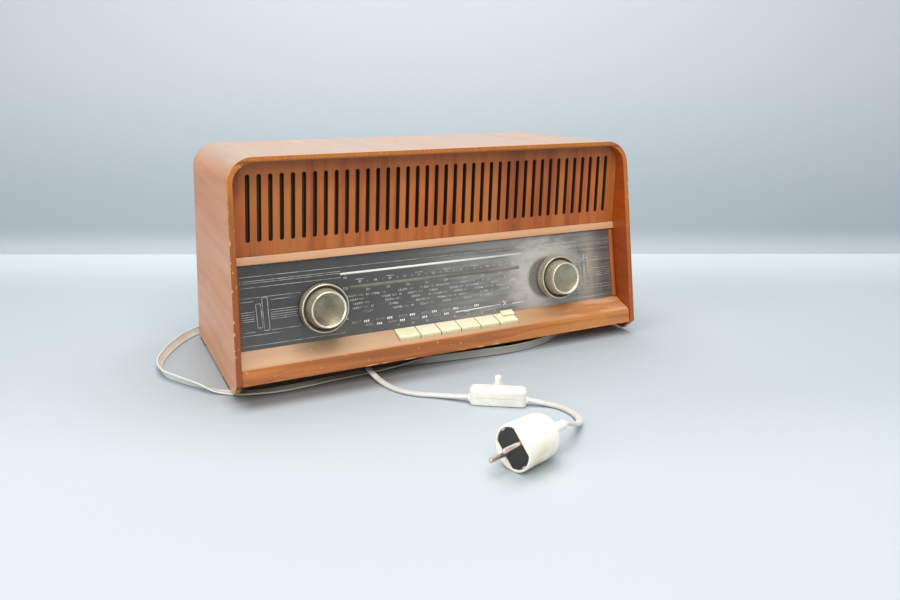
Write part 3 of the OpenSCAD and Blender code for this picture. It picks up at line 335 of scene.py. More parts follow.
class Finish:
    """A finish while it is written: its node tree, its shader and the colour made so far."""

    def __init__(self, name, roughness, base=None, metallic=0.0, coat=0.0, coat_roughness=0.1, specular=0.5,
                 sheen=0.0, through=0.0, ior=1.5):
        self.material = bpy.data.materials.new(name)
        self.material.use_nodes = True
        self.tree = self.material.node_tree
        self.shader = next(n for n in self.tree.nodes if n.type == "BSDF_PRINCIPLED")
        for key, value in (("Roughness", roughness), ("Metallic", metallic), ("Coat Weight", coat), ("IOR", ior),
                           ("Coat Roughness", coat_roughness), ("Specular IOR Level", specular),
                           ("Sheen Weight", sheen), ("Transmission Weight", through)):
            self.shader.inputs[key].default_value = value
        self.base = base and (*linear(base), 1.0)

    def add(self, kind, inputs, **options):
        """One node. inputs are set or linked by name or number."""
        node = self.tree.nodes.new("ShaderNode" + kind)
        for option, value in options.items():
            setattr(node, option, value)
        for key, value in inputs.items():
            if isinstance(value, bpy.types.NodeSocket):
                self.tree.links.new(value, node.inputs[key])
            else:
                node.inputs[key].default_value = value
        return node

    @cached_property
    def place(self):
        return self.add("TexCoord", {}).outputs["Object"]

    @cached_property
    def wrap(self):
        """The UV coordinates: metres along a surface and over it."""
        return self.add("TexCoord", {}).outputs["UV"]

    @cached_property
    def axes(self):
        """The place's three parts: across the radio, into it and up."""
        return self.add("SeparateXYZ", {0: self.place}).outputs

    def span(self, value, low, high, to_low=0.0, to_high=1.0):
        """A value carried smoothly from one span to another and held at its ends."""
        return self.add("MapRange", {0: value, 1: low, 2: high, 3: to_low, 4: to_high},
                        interpolation_type="SMOOTHSTEP").outputs[0]

    def across(self, *spans):
        return self.span(self.axes[0], *spans)

    def depth(self, *spans):
        return self.span(self.axes[1], *spans)

    def up(self, *spans):
        return self.span(self.axes[2], *spans)

    def maths(self, operation, first, second=0.0):
        return self.add("Math", {0: first, 1: second}, operation=operation).outputs[0]

    def times(self, first, *others):
        """The product of all the values."""
        for other in others:
            first = self.maths("MULTIPLY", first, other)
        return first

    def vector(self, operation, first, second):
        return self.add("VectorMath", {0: first, 1: second}, operation=operation).outputs

    def stretched(self, where, scale):
        """Coordinates stretched by a factor along each axis."""
        return self.add("Mapping", {"Vector": where, "Scale": scale}).outputs[0]

    def noise(self, scale, detail=3.0, distortion=0.0, where=None):
        """Noise from 0 to 1. scale is one number, or a stretch along each axis."""
        where = where or self.place
        if isinstance(scale, tuple):
            where, scale = self.stretched(where, scale), 1.0
        return self.add("TexNoise", {"Vector": where, "Scale": scale, "Detail": detail,
                                     "Distortion": distortion}).outputs["Fac"]

    def patches(self, scale, detail, low, high, to_low=0.0, to_high=1.0, distortion=0.0):
        """Noise with its span from low to high carried to another span."""
        return self.span(self.noise(scale, detail, distortion), low, high, to_low, to_high)

    def near(self, centre, reach, core=0.0, stretch=None):
        """1 within the core round a point and 0 beyond its reach, measured in a place stretched by axis."""
        where = self.place
        if stretch:
            where, centre = self.stretched(where, stretch), tuple(np.multiply(centre, stretch))
        return self.span(self.vector("DISTANCE", where, centre)["Value"], core, reach, 1.0, 0.0)

    def bent(self, scale, reach):
        """The wrapping coordinates, pushed sideways by a broad noise."""
        push = self.add("TexNoise", {"Vector": self.wrap, "Scale": scale, "Detail": 1.0}).outputs["Color"]
        return self.vector("ADD", self.wrap, self.vector("MULTIPLY", push, (reach, 0.0, 0.0))[0])[0]

    def tint(self, shade, *shares):
        """Carries the colour made so far towards a shade, by the product of the shares."""
        self.base = self.add("Mix", {0: self.times(*shares), 6: self.base, 7: (*linear(shade), 1.0)},
                             data_type="RGBA").outputs[2]

    def wood(self, across, pale, dark, figure, fibre, where=None):
        """Wood grain: broad figure, mid streaks and fine pores, each a noise drawn out along the grain.
        across is the stretch over X, Y and Z, large where the grain is crossed. Gives the relief and the
        broad figure."""
        across = np.array(across)
        fine = across * 620 * np.where(across < 0.5, 0.35, 1)
        broad = self.noise(tuple(across * 18), 2.0, 0.8, where)
        streaks = self.noise(tuple(across * 95), 4.0, 0.5, where)
        pitted = self.span(self.noise(tuple(fine), 2.0, 0.0, where), 0.56, 0.74)
        share = self.maths("ADD", self.times(self.span(broad, 0.32, 0.68), figure),
                           self.times(self.span(streaks, 0.38, 0.66), fibre))
        share = self.maths("ADD", share, self.times(pitted, 0.35))
        self.base = (*linear(pale), 1.0)
        self.tint(dark, share)
        return self.times(pitted, -1.0), broad

    def done(self, roughness=None, height=None, strength=0.3):
        """Links the colour, and where given the roughness and the relief. Gives the material."""
        self.tree.links.new(self.base, self.shader.inputs["Base Color"])
        if roughness:
            self.tree.links.new(roughness, self.shader.inputs["Roughness"])
        if height:
            bump = self.add("Bump", {"Height": height, "Strength": strength, "Distance": 0.3 * MM})
            self.tree.links.new(bump.outputs[0], self.shader.inputs["Normal"])
        return self.material


def veneer_finish():
    """Teak veneer of the wrapper: its grain runs from front to back, and the top is bleached and dusty."""
    look = Finish("Cabinet veneer", 0.5, coat=0.12, coat_roughness=0.4)
    height, broad = look.wood((1.0, 0.06, 1.0), "cabinet.veneer", "cabinet.veneer_dark", 0.12, 0.22,
                              look.bent(9.0, 0.007))
    bleached = look.patches((9.0, 20.0, 9.0), 5.0, 0.3, 0.66, 0.6, 0.85, 0.4)
    look.tint((160, 147, 136), look.up(0.212, 0.234), bleached)
    look.tint((226, 196, 172), look.patches((30.0, 6.0, 30.0), 5.0, 0.62, 0.72), 0.22)
    return look.done(look.span(broad, 0.3, 0.7, 0.36, 0.5), height, 0.25)


def edge_finish():
    """Lacquered front edge of the plywood: ochre, browner low down, darker on the left side and with painted shade
    under the top, with plies, pale nicks, chips along the left arris and a split tip at its foot."""
    look = Finish("Cabinet edge", 0.4, "cabinet.edge", coat=0.2, coat_roughness=0.25)
    look.tint((178, 88, 26), look.up(0.06, 0.2, 1.0, 0.0))
    plies = look.noise((900.0, 60.0, 60.0))
    look.tint((120, 58, 18), look.span(plies, 0.35, 0.7, 0.0, 0.35))
    look.tint((238, 188, 112), look.patches((420.0, 200.0, 260.0), 3.0, 0.66, 0.71))
    look.tint((98, 54, 20), look.across(-0.236, -0.1, 0.38, 0.0), look.up(0.175, 0.21, 1.0, 0.0))
    # painted shade along the lower band of the top's front edge
    look.tint((108, 58, 24), look.up(0.2296, 0.2318, 0.75, 0.0), look.up(0.226, 0.229))
    arris = look.times(look.across(-0.2392, -0.2382, 1.0, 0.0), look.up(0.17, 0.2, 1.0, 0.0))
    look.tint((240, 196, 150), arris, look.patches((90.0, 90.0, 330.0), 3.0, 0.57, 0.66, 0.0, 0.8))
    tip = look.near((-0.237, -0.102, 0.006), 0.013)
    look.tint((235, 196, 96), tip, look.patches((500.0, 500.0, 160.0), 3.0, 0.34, 0.46))
    return look.done(None, plies, 0.25)


def inner_wall_finish():
    """Lacquered inner face of the wrapper, orange-brown, with dark curved figure along the depth."""
    look = Finish("Cabinet lining", 0.34, coat=0.35, coat_roughness=0.25)
    height, _ = look.wood((1.0, 0.12, 1.0), "cabinet.lacquer", (128, 58, 20), 0.35, 0.35, look.bent(22.0, 0.03))
    return look.done(None, height, 0.2)


def baffle_finish():
    """Teak of the baffle, red-brown, with upright streaks and painted shade of the overhang above the slots."""
    look = Finish("Baffle teak", 0.5, coat=0.08, coat_roughness=0.35)
    height, _ = look.wood((1.0, 1.0, 0.045), "baffle.wood", "baffle.streak", 0.45, 0.6)
    look.tint((188, 118, 50), look.patches((55.0, 1.0, 2.0), 2.0, 0.45, 0.65, 0.0, 0.55, 0.5))
    # painted shade of the cabinet's overhang on the strip above the slots
    look.tint((112, 52, 20), look.up(0.19, 0.212, 0.0, 0.4))
    return look.done(None, height, 0.2)


def plinth_finish():
    """Plinth wood with its grain along the width, dark streaks on its front, a pale slope, a worn right end,
    pale nicks along the lower edge, a dark patch under the left knob and pale specks."""
    look = Finish("Plinth wood", 0.36, coat=0.3, coat_roughness=0.25)
    height, broad = look.wood((0.05, 1.0, 1.0), (204, 124, 60), (140, 76, 32), 0.45, 0.45)
    look.tint((236, 164, 88), look.across(-0.05, 0.2, 0.0, 0.35))
    slope = look.up(0.0295, 0.032)
    streak = look.patches((9.0, 90.0, 130.0), 4.0, 0.42, 0.62, 0.0, 0.42, 0.6)
    look.tint((112, 62, 24), streak, look.up(0.0285, 0.031, 1.0, 0.35))
    look.tint((220, 200, 168), slope, look.across(0.02, 0.18, 0.6, 0.1))
    look.tint((88, 52, 26), look.near((-0.144, -0.095, 0.037), 0.024, stretch=(0.45, 1.0, 1.0)), 0.4)
    rubbed = look.patches((16.0, 90.0, 90.0), 5.0, 0.44, 0.62, distortion=0.4)
    look.tint((226, 180, 146), look.across(0.09, 0.2), slope, rubbed, 0.75)
    nicks = look.patches((70.0, 400.0, 600.0), 4.0, 0.56, 0.62)
    look.tint((232, 188, 138), look.up(0.0148, 0.0172, 1.0, 0.0), nicks)
    look.tint((236, 202, 160), look.patches(260.0, 2.0, 0.7, 0.74), 0.5)
    return look.done(look.span(broad, 0.3, 0.7, 0.3, 0.42), height, 0.2)


def pale_wood_finish():
    """Pale strip above the glass, with its grain along the width."""
    look = Finish("Pale strip wood", 0.4, coat=0.2, coat_roughness=0.3)
    height, _ = look.wood((0.04, 1.0, 1.0), (222, 176, 136), (190, 132, 88), 0.35, 0.4)
    return look.done(None, height, 0.15)


def batten_finish():
    """Orange-brown battens at the dial's ends, with upright grain and painted shade on the left one."""
    look = Finish("Batten wood", 0.4, coat=0.2, coat_roughness=0.3)
    height, _ = look.wood((1.0, 1.0, 0.05), (198, 112, 48), (140, 70, 28), 0.35, 0.4)
    # painted shade: the left batten is darkened
    look.tint((70, 40, 24), look.across(-0.1, 0.1, 0.5, 0.0))
    return look.done(None, height, 0.15)


def hardboard_finish():
    """Pressed fibre board: short fibres in every direction over a brown ground."""
    look = Finish("Hardboard", 0.8, (104, 70, 46))
    look.tint((74, 46, 30), look.patches(9.0, 5.0, 0.3, 0.7))
    lying, standing = (look.noise(stretch, 3.0, 1.5) for stretch in ((180.0, 180.0, 900.0), (900.0, 180.0, 180.0)))
    fibres = look.maths("MAXIMUM", lying, standing)
    look.tint((150, 110, 76), look.span(fibres, 0.55, 0.8, 0.0, 0.8))
    return look.done(None, fibres, 0.35)


def moulded_finish(name, shade, stain, roughness=0.35, coat=0.1):
    """Moulded plastic: a faint cloudiness, dirt in patches and fine surface ripple."""
    look = Finish(name, roughness, shade, coat=coat, coat_roughness=0.15)
    look.tint(stain, look.patches(45.0, 4.0, 0.4, 0.75, 0.0, 0.5, 0.5))
    fine = look.noise(900.0, 2.0)
    return look.done(look.span(fine, 0.3, 0.7, roughness - 0.06, roughness + 0.08), fine, 0.08)


def metal_finish(name, shade, dirt, roughness=0.35, brushed=(400.0, 400.0, 400.0), wear=0.4):
    """Metal with fine brushed lines and dull patches."""
    look = Finish(name, roughness, shade, metallic=1.0)
    look.tint(dirt, look.patches(70.0, 4.0, 0.45, 0.7, 0.0, wear))
    lines = look.noise(brushed)
    return look.done(look.span(lines, 0.3, 0.7, roughness - 0.08, roughness + 0.1), lines, 0.12)


def knob_finish(name, shade, dirt, roughness, metallic, pits=0.45, grooves=0.0):
    """Satin nickel that has yellowed, paler on the right knobs, with small pits and brass worn bare in spots
    on the left ones. The painted shade in the knurling's grooves is 1 - |sin(ridges * a / 2)| at the angle a round
    the knob."""
    knobs, dial = settings("knobs"), settings("dial")
    look = Finish(name, roughness, shade, metallic=metallic)
    look.tint(dirt, look.patches(60.0, 4.0, 0.4, 0.7))
    look.tint((212, 204, 180), look.across(0.0, 0.1, 0.0, 0.3))
    look.tint((84, 80, 68), look.patches(650.0, 2.0, 0.6, 0.68), pits)
    upward = (0.0, math.sin(dial.tilt), math.cos(dial.tilt))
    middle = (front() + dial.set_back) * upward[1] + dial.seam * upward[2] + knobs.rise
    rise = look.maths("SUBTRACT", look.vector("DOT_PRODUCT", look.place, upward)["Value"], middle)
    across = look.maths("SUBTRACT", look.maths("ABSOLUTE", look.axes[0]), knobs.distance)
    wave = look.maths("SINE", look.times(look.maths("ARCTAN2", rise, across), knobs.ridges / 2))
    # painted shade darkening the grooves of the knurling
    look.tint((86, 80, 66), look.span(look.maths("ABSOLUTE", wave), 0.15, 0.75, grooves, 0.0))
    look.tint((176, 112, 48), look.near((-0.162, -0.1, 0.066), 0.016), look.patches(420.0, 3.0, 0.52, 0.6))
    lines = look.noise((700.0, 90.0, 700.0))
    return look.done(look.span(lines, 0.3, 0.7, roughness - 0.08, roughness + 0.06), lines, 0.08)


def recess_finish():
    """Dark dirt in the recess and on the skirt of a knob."""
    look = Finish("Knob recess", 0.5, "knobs.recess", metallic=0.3)
    grime_and_shade = look.patches(320.0, 4.0, 0.35, 0.7)
    look.tint((150, 143, 120), grime_and_shade)
    return look.done(None, grime_and_shade, 0.3)


def glass_finish():
    """Dark back-painted glass, milky in rows from its middle on, with a haze round the right-hand knob, a painted
    reflection of that knob beside it, a brownish smear beyond it, a darker right end and dust."""
    look = Finish("Dial glass", 0.16, "dial.glass", coat=0.6, coat_roughness=0.05, specular=0.6)
    look.tint((104, 104, 104), look.across(-0.17, 0.1))
    rows = look.noise((14.0, 60.0, 260.0))
    look.tint((150, 150, 147), look.across(-0.06, 0.05), look.span(rows, 0.38, 0.66, 0.2, 0.8))
    ring = look.near((0.124, 0.0, 0.08), 0.064, stretch=(0.78, 0.0, 0.8))
    cloud = look.times(look.noise((38.0, 60.0, 62.0), 5.0, 0.9), 0.8)
    haze = look.span(look.maths("ADD", ring, cloud), 0.46, 1.3)
    haze = look.times(haze, look.span(rows, 0.3, 0.75, 1.0, 0.72))
    look.tint((200, 197, 191), haze)
    look.tint((68, 64, 62), look.across(0.192, 0.212, 0.0, 0.55))
    # painted reflection: a dull disc where the right-hand knob is mirrored in the glass
    look.tint((92, 90, 86), look.near((0.131, 0.0, 0.0745), 0.026, 0.0205, (1.0, 0.0, 1.0)), 0.8)
    wiped = look.patches((150.0, 20.0, 20.0), 3.0, 0.3, 0.6)
    look.tint((186, 171, 151), wiped, 0.75, look.near((0.191, 0.0, 0.078), 0.029, stretch=(1.0, 0.0, 0.45)))
    look.tint((150, 150, 146), look.patches(700.0, 2.0, 0.66, 0.72, 0.0, 0.25))
    return look.done(look.span(haze, 0.0, 1.0, 0.16, 0.5))


def ink_finish(name, shade, faded, roughness=0.55):
    """Printed ink, faded in patches."""
    look = Finish(name, roughness, shade)
    look.tint(faded, look.patches(130.0, 3.0, 0.4, 0.7))
    return look.done()


def band_finish():
    """Olive band, which fades into the haze on the right."""
    look = Finish("Olive print", 0.5, "dial.band")
    look.tint((108, 111, 100), look.patches(130.0, 3.0, 0.4, 0.7))
    look.tint((166, 164, 156), look.across(0.03, 0.085))
    return look.done()


def cloth_finish():
    """Woven grille cloth: two crossed sets of threads with dark gaps."""
    look = Finish("Grille cloth", 0.9, "baffle.cloth", sheen=0.2)
    threads = {"Vector": look.place, "Scale": 140.0, "Distortion": 1.5, "Detail": 2.0}
    warp, weft = (look.add("TexWave", threads, bands_direction=axis).outputs["Fac"] for axis in "XZ")
    weave = look.times(warp, weft)
    look.tint((112, 84, 54), weave)
    return look.done(None, weave, 0.6)


def key_finish():
    """Ivory plastic, yellower towards the front edge, with painted shade on its front face, clouds and brown
    specks.
    """
    look = Finish("Key ivory", 0.3, "keys.ivory", coat=0.25, coat_roughness=0.12)
    look.shader.inputs["Subsurface Weight"].default_value = 0.08
    look.shader.inputs["Subsurface Scale"].default_value = 0.002
    look.tint((246, 236, 190), look.depth(-0.103, -0.088, 0.25, 0.0))
    # painted shade on the keys' front faces
    look.tint((206, 202, 162), look.depth(-0.10255, -0.1018, 0.8, 0.0))
    look.tint((246, 234, 188), look.patches(60.0, 4.0, 0.48, 0.72, 0.0, 0.5, 0.5))
    look.tint((150, 118, 70), look.patches(600.0, 2.0, 0.7, 0.75, 0.0, 0.6))
    return look.done(None, look.noise(500.0, 2.0), 0.06)


def lead_finish(name, shade, dirt, through=0.0, grime_and_shade=0.0):
    """Flexible plastic: faint dirt, finer along the lead, and painted shade where it lies under the plinth."""
    look = Finish(name, 0.38, shade, coat=0.15, coat_roughness=0.2, through=through)
    along = look.noise((60.0, 900.0, 1.0), where=look.wrap)
    look.tint(dirt, look.patches(28.0, 4.0, 0.4, 0.75, 0.0, 0.6, 0.5))
    look.tint(dirt, look.span(along, 0.55, 0.75, 0.0, 0.35))
    # painted shade where the lead lies under the plinth
    if grime_and_shade:
        look.tint((140, 128, 106), look.depth(-0.092, -0.078, grime_and_shade, 0.0), look.across(-0.232, -0.2))
    return look.done(None, along, 0.06)


def plug_finish():
    """Cream plug body with dirt and a yellow stain on its lower rear."""
    look = Finish("Plug cream", 0.28, "leads.plug", coat=0.3, coat_roughness=0.1)
    stain = look.near((-0.05, -0.352, 0.006), 0.024)
    look.tint((224, 190, 84), stain, look.patches(75.0, 4.0, 0.36, 0.62, distortion=0.4))
    look.tint((208, 198, 168), look.patches(30.0, 4.0, 0.52, 0.75, 0.0, 0.4))
    return look.done(None, look.noise(700.0, 2.0), 0.05)


def bulb_finish():
    """Clear glass bulb, silvered at its top."""
    look = Finish("Valve glass", 0.05, (214, 220, 222), through=0.85, ior=1.45)
    look.tint((120, 122, 126), look.up(0.1, 0.112))
    return look.done()


def floor_finish():
    """Grey-blue paper with painted light: paler towards the back and at the front, and the radio's painted contact
    shade along the front of the plinth."""
    look = Finish("Floor paper", 0.75, "stage.floor")
    look.tint((166, 177, 186), look.noise(1.6, 1.0))
    # painted light: paler towards the back and at the front
    away = look.vector("DOT_PRODUCT", look.place, tuple(AHEAD))["Value"]
    look.tint((192, 204, 213), look.span(away, 0.18, 0.45))
    look.tint((186, 197, 205), look.span(away, -0.36, -0.13, 0.7, 0.0))
    under = look.times(look.depth(-0.146, -0.118, 0.0, 0.85), look.depth(-0.1, -0.07, 1.0, 0.0))
    along = look.times(look.across(-0.256, -0.222), look.across(-0.13, 0.09, 1.0, 0.0))
    look.tint((84, 78, 74), under, along)
    return look.done()


def backdrop_finish():
    """Pale wall with painted light: darker near the table, paler higher up and at its foot below the table."""
    look = Finish("Backdrop", 0.9, "stage.wall_low")
    # painted light: paler higher up and at the wall's foot below the table
    look.tint("stage.wall_high", look.up(-0.1, 0.42))
    look.tint((222, 236, 248), look.up(-0.2, -0.12, 1.0, 0.0))
    return look.done()


MAKERS = {
    "veneer": (veneer_finish,), "edge": (edge_finish,), "lining": (inner_wall_finish,), "baffle": (baffle_finish,),
    "plinth": (plinth_finish,), "pale wood": (pale_wood_finish,), "batten": (batten_finish,),
    "hardboard": (hardboard_finish,), "recess": (recess_finish,), "glass": (glass_finish,), "band": (band_finish,),
    "cloth": (cloth_finish,), "keys": (key_finish,), "plug": (plug_finish,), "bulb": (bulb_finish,),
    "floor": (floor_finish,), "backdrop": (backdrop_finish,),
    "knob": (knob_finish, "Knob dish", "knobs.metal", (124, 118, 100), 0.4, 0.8, 0.25),
    "knurl": (knob_finish, "Knurled nickel", (208, 202, 180), (168, 160, 138), 0.42, 0.35, 0.45, 0.75),
    # painted highlight: the rims get a nickel far paler than the knob's other parts
    "rim": (knob_finish, "Polished rim", (250, 248, 236), (226, 222, 200), 0.24, 0.45, 0.12),
    "bright ink": (ink_finish, "Bright print", (252, 252, 248), (240, 240, 234)),
    "ink": (ink_finish, "White print", "dial.ink", (150, 152, 150)),
    "faint ink": (ink_finish, "Grey print", (182, 182, 177), (148, 148, 144)),
    "mains": (lead_finish, "Mains lead", "leads.mains", (176, 172, 164)),
    # the ribbon's last number is the share of painted shade where it lies under the plinth
    "ribbon": (lead_finish, "Ribbon lead", "leads.ribbon", (196, 190, 160), 0.15, 0.6),
    # painted shade on the keys' inner ends, which face the gaps between keys
    "key gap": (moulded_finish, "Key gap", (96, 84, 58), (64, 54, 38), 0.6, 0.0),
    "switch": (moulded_finish, "Switch white", (244, 243, 238), (214, 208, 192), 0.25, 0.3),
    "insert": (moulded_finish, "Plug insert", (30, 28, 28), (52, 48, 44), 0.4),
    "brown plastic": (moulded_finish, "Brown plastic", (62, 38, 24), (90, 62, 40), 0.4),
    "red plastic": (moulded_finish, "Red pointer", (190, 50, 24), (150, 40, 24), 0.35),
    "drum plastic": (moulded_finish, "Drum plastic", (214, 206, 178), (176, 160, 120), 0.4),
    # dark stain on the slot walls, darkened further as painted shade
    "slot": (moulded_finish, "Slot stain", (74, 42, 20), (52, 30, 14), 0.8, 0.0),
    "white paint": (moulded_finish, "White paint", (226, 222, 208), (190, 180, 156), 0.7, 0.0),
    "felt": (moulded_finish, "Felt", (128, 92, 68), (100, 74, 54), 0.95, 0.0),
    "cone paper": (moulded_finish, "Cone paper", (36, 32, 30), (62, 56, 50), 0.9, 0.0),
    "iron": (moulded_finish, "Core varnish", (38, 36, 36), (70, 50, 38), 0.5),
    "ferrite": (moulded_finish, "Ferrite", (40, 40, 42), (62, 60, 60), 0.6),
    "speaker": (moulded_finish, "Speaker paint", (120, 124, 120), (88, 88, 84), 0.45),
    "lamp": (moulded_finish, "Lamp glass", (238, 230, 200), (200, 186, 150), 0.12),
    "screw": (metal_finish, "Screw steel", (176, 174, 168), (112, 96, 78), 0.3),
    "steel": (metal_finish, "Plain steel", (172, 172, 170), (120, 112, 100), 0.32, (60.0, 900.0, 900.0)),
    "chassis": (metal_finish, "Chassis plate", (166, 162, 146), (116, 108, 88), 0.42, (30.0, 30.0, 600.0), 0.7),
    "brass": (metal_finish, "Brass", (206, 162, 88), (140, 104, 56), 0.3, (900.0, 90.0, 900.0)),
    "aluminium": (metal_finish, "Can aluminium", (196, 196, 196), (140, 140, 140), 0.35, (800.0, 800.0, 40.0)),
    "pin": (metal_finish, "Plug pin", (236, 220, 210), (180, 156, 142), 0.38, (700.0, 700.0, 700.0), 0.5),
}


@cache
def shared(name):
    """The finish of that name, made when it is first asked for."""
    maker, *values = MAKERS[name]
    return maker(*values)


# Cabinet


def front_line(height):
    """Depth of the cabinet's front edge at a height: straight and leaning back above the undercut, and
    slanting back to the foot below it."""
    cabinet = settings("cabinet")
    low = SHELL[0].z
    knee = low + cabinet.undercut_height
    above = (height - knee) / (cabinet.height - knee) * cabinet.lean
    below = (knee - height) / cabinet.undercut_height * cabinet.undercut_depth
    return front() + np.where(height >= knee, above, below)


def wrapper_path(steps=14):
    """Points and outward directions along the wrapper: up the left side, round a corner, over the top,
    round the other corner and down. The corner's point at angle a is its middle plus radius * (cos a, sin a)."""
    cabinet = settings("cabinet")
    half, radius = cabinet.width / 2, cabinet.corner
    low = SHELL[0].z
    heights = np.array([low, low + cabinet.undercut_height, *np.linspace(0.04, cabinet.height - radius, 8)[:-1]])
    angle = np.linspace(0, np.pi / 2, steps)
    turn = joined(np.cos(angle), np.sin(angle))
    right = np.vstack([joined(half, heights), [half - radius, cabinet.height - radius] + radius * turn])
    facing = np.vstack([np.tile([1.0, 0.0], (len(heights), 1)), turn])
    flip = np.array([-1.0, 1.0])
    return np.vstack([right * flip, right[::-1]]), np.vstack([facing * flip, facing[::-1]])


def make_wrapper():
    """The bent plywood: at each point of the path, a loop of the outer face, the back edge, the inner face
    and the front edge, each lying between the front line at its own height and the back."""
    cabinet = settings("cabinet")
    outer, facing = wrapper_path()
    back = front() + cabinet.depth
    cells = 8
    share = np.linspace(0, 1, cells + 1)
    sides = []
    for line, shares in ((outer, share), (outer - facing * cabinet.ply, share[::-1])):
        start = front_line(line[:, 1])[:, None]
        sides.append(joined(line[:, :1], start + (back - start) * shares, line[:, 1:]))
    grid = np.concatenate([*sides, sides[0][:, :1]], 1)
    length = np.concatenate([[0], np.cumsum(np.linalg.norm(np.diff(outer, axis=0), axis=1))])
    bands = [0] * cells + [1] + [2] * cells + [1, 1]
    piece = surface("wrapper", grid, (0, len(grid) - 1), joined(length[:, None], grid[..., 1]), bands,
                    ["veneer", "edge", "lining"])
    fit(soften(piece, 0.7 * MM), "cabinet", "veneer", "cabinet_shell")


def make_baffle():
    """The slotted panel: each slot's outline is joined point by point to the square cell round it, and strips
    fill the panel out to its edges, whose top follows the bent corners."""
    baffle, cabinet = settings("baffle"), settings("cabinet")
    half, foot = inner_half() - cabinet.clearance, cabinet.clearance
    top = (cabinet.height - cabinet.ply - divider_top()) / math.cos(baffle.tilt)
    low, high = baffle.wood_below, top - baffle.wood_above
    base, roof = low - 4 * MM, high + 4 * MM
    top -= cabinet.clearance
    corner = cabinet.corner - cabinet.ply - cabinet.clearance
    pitch = 2 * (inner_half() - baffle.slot_end) / (baffle.slots - 1)
    radius = baffle.slot_width / 2
    turn = np.linspace(0, np.pi, 9)
    rises = np.linspace(low + radius, high - radius, 5)[1:-1]

    def ring(half_width, lower, upper):
        """A closed loop: along its lower end, up its right side, back along its upper end and down."""
        return closed(np.vstack([joined(-half_width * np.cos(turn), lower), joined(half_width, rises),
                                 joined(half_width * np.cos(turn), upper), joined(-half_width, rises[::-1])]))

    bow = radius * np.sin(turn)
    pair = np.stack([ring(radius, low + radius - bow, high - radius + bow), ring(pitch / 2, base, roof)])
    middles = (np.arange(baffle.slots) - (baffle.slots - 1) / 2) * pitch
    points = [joined(pair[None, ..., 0] + middles[:, None, None], pair[..., 1]).reshape(-1, 2)]
    around = pair.shape[1]
    faces = [face for k in range(baffle.slots) for face in grid_faces(2, around, 2 * around * k)[0]]

    def strip(x, rows):
        """Cells between lines that run across the panel, each with one height or a height per point."""
        rows = np.stack([np.broadcast_to(row, len(x)) for row in rows])
        faces.extend(grid_faces(*rows.shape, sum(map(len, points)))[0])
        points.append(joined(x, rows).reshape(-1, 2))

    def crown(x):
        """Height of the panel's top edge: flat, then falling round the bent corners."""
        over = np.clip(np.abs(x) - (half - corner), 0, corner)
        return top - corner + np.sqrt(corner ** 2 - over ** 2)

    across = np.unique(np.round((middles[:, None] - pitch / 2 * np.cos(turn)).ravel(), 8))
    ends = half - (half - across[-1]) * (1 - np.sin(np.linspace(0, np.pi / 2, 7)))
    share = (np.array([base, *rises, roof]) - base) / (roof - base)
    strip(across, (foot, base))
    strip(across, (roof, crown(across)))
    for x in (-ends[::-1], ends):
        cap = np.minimum(roof, crown(x))
        strip(x, base + share[:, None] * (cap - base))
        strip(x, (foot, base))
        strip(x, (cap, np.maximum(cap, crown(x))))
    flat = np.vstack(points)
    piece = piece_from("baffle", on_baffle(flat[:, 0], 0.0, flat[:, 1]), faces, finishes=["baffle", "slot"])
    if piece.data.polygons[0].normal.y > 0:
        piece.data.flip_normals()
    # the slot walls take the slot finish, which holds painted shade
    thicken(piece, baffle.thickness).modifiers["Wall"].material_offset_rim = 1
    fit(soften(piece, 0.45 * MM), "cabinet", "baffle_wood", "speaker_baffle")
    return low, high


def make_grille_cloth(low, high):
    """Cloth stretched flat behind the baffle, bowed by a hair between its glued edges."""
    baffle = settings("baffle")
    margin = 4 * MM
    half = inner_half() - 2 * margin
    x, s = np.meshgrid(np.linspace(-half, half, 90), np.linspace(5 * MM, high + margin, 16), indexing="ij")
    bow = 0.15 * MM * np.sin(np.pi * (x + half) / (2 * half)) * np.sin(np.pi * (s - low) / (high - low))
    grid = on_baffle(x, baffle.thickness + 0.25 * MM + bow, s)
    piece = surface("grille_cloth_sheet", grid, finishes=["cloth"])
    thicken(piece, 0.4 * MM, 0)
    fit(piece, "cabinet", "cloth", "grille_cloth")


def make_divider():
    """The pale strip over the glass: its slanted face is one profile carried across the cabinet."""
    half = inner_half() - settings("cabinet").clearance
    low, top = divider_top() - 8 * MM, divider_top()
    back = front() + 56 * MM
    outline = rounded_outline([(front() + 36 * MM, low), (front() + 39.2 * MM, top), (back, top), (back, low)],
                              np.array([0.9, 0.8, 0.5, 0.5]) * MM)
    fit(rail("divider", outline, (-half, half), ["pale wood"]), "cabinet", "pale_wood", "divider_strip")


def make_dial_battens():
    """Half-round battens at both ends of the glass: a profile across the dial carried up its slope."""
    dial = settings("dial")
    half = dial.batten / 2
    turn = np.linspace(0, np.pi, 9)
    profile = closed(np.vstack([joined(-half * np.cos(turn), -0.9 * MM - 1.8 * MM * np.sin(turn)),
                                [[half, -0.3 * MM], [-half, -0.3 * MM]]]))
    rises = np.array([[0.5 * MM], [dial.height - 0.1 * MM]])
    for side, name, nodes in ((-1, "left", ["dial_battens"]), (1, "right", [])):
        middle = side * (inner_half() - settings("cabinet").clearance - half)
        grid = on_dial(middle + profile[:, 0], profile[:, 1], rises)
        fit(surface("dial_batten_" + name, grid, (0, 1), finishes=["batten"]), "cabinet", "pale_wood", *nodes)


def key_row():
    """Left and right end of the row of keys."""
    keys = settings("keys")
    half = (KEY_COUNT * keys.pitch - keys.gap) / 2
    return keys.middle - half, keys.middle + half


def slope_height(depth):
    """Height of the plinth's sloped top at a depth behind the cabinet's front."""
    dial = settings("dial")
    return dial.seam + (depth - dial.set_back) * (dial.seam - 30.5 * MM) / (dial.set_back - 3.7 * MM)


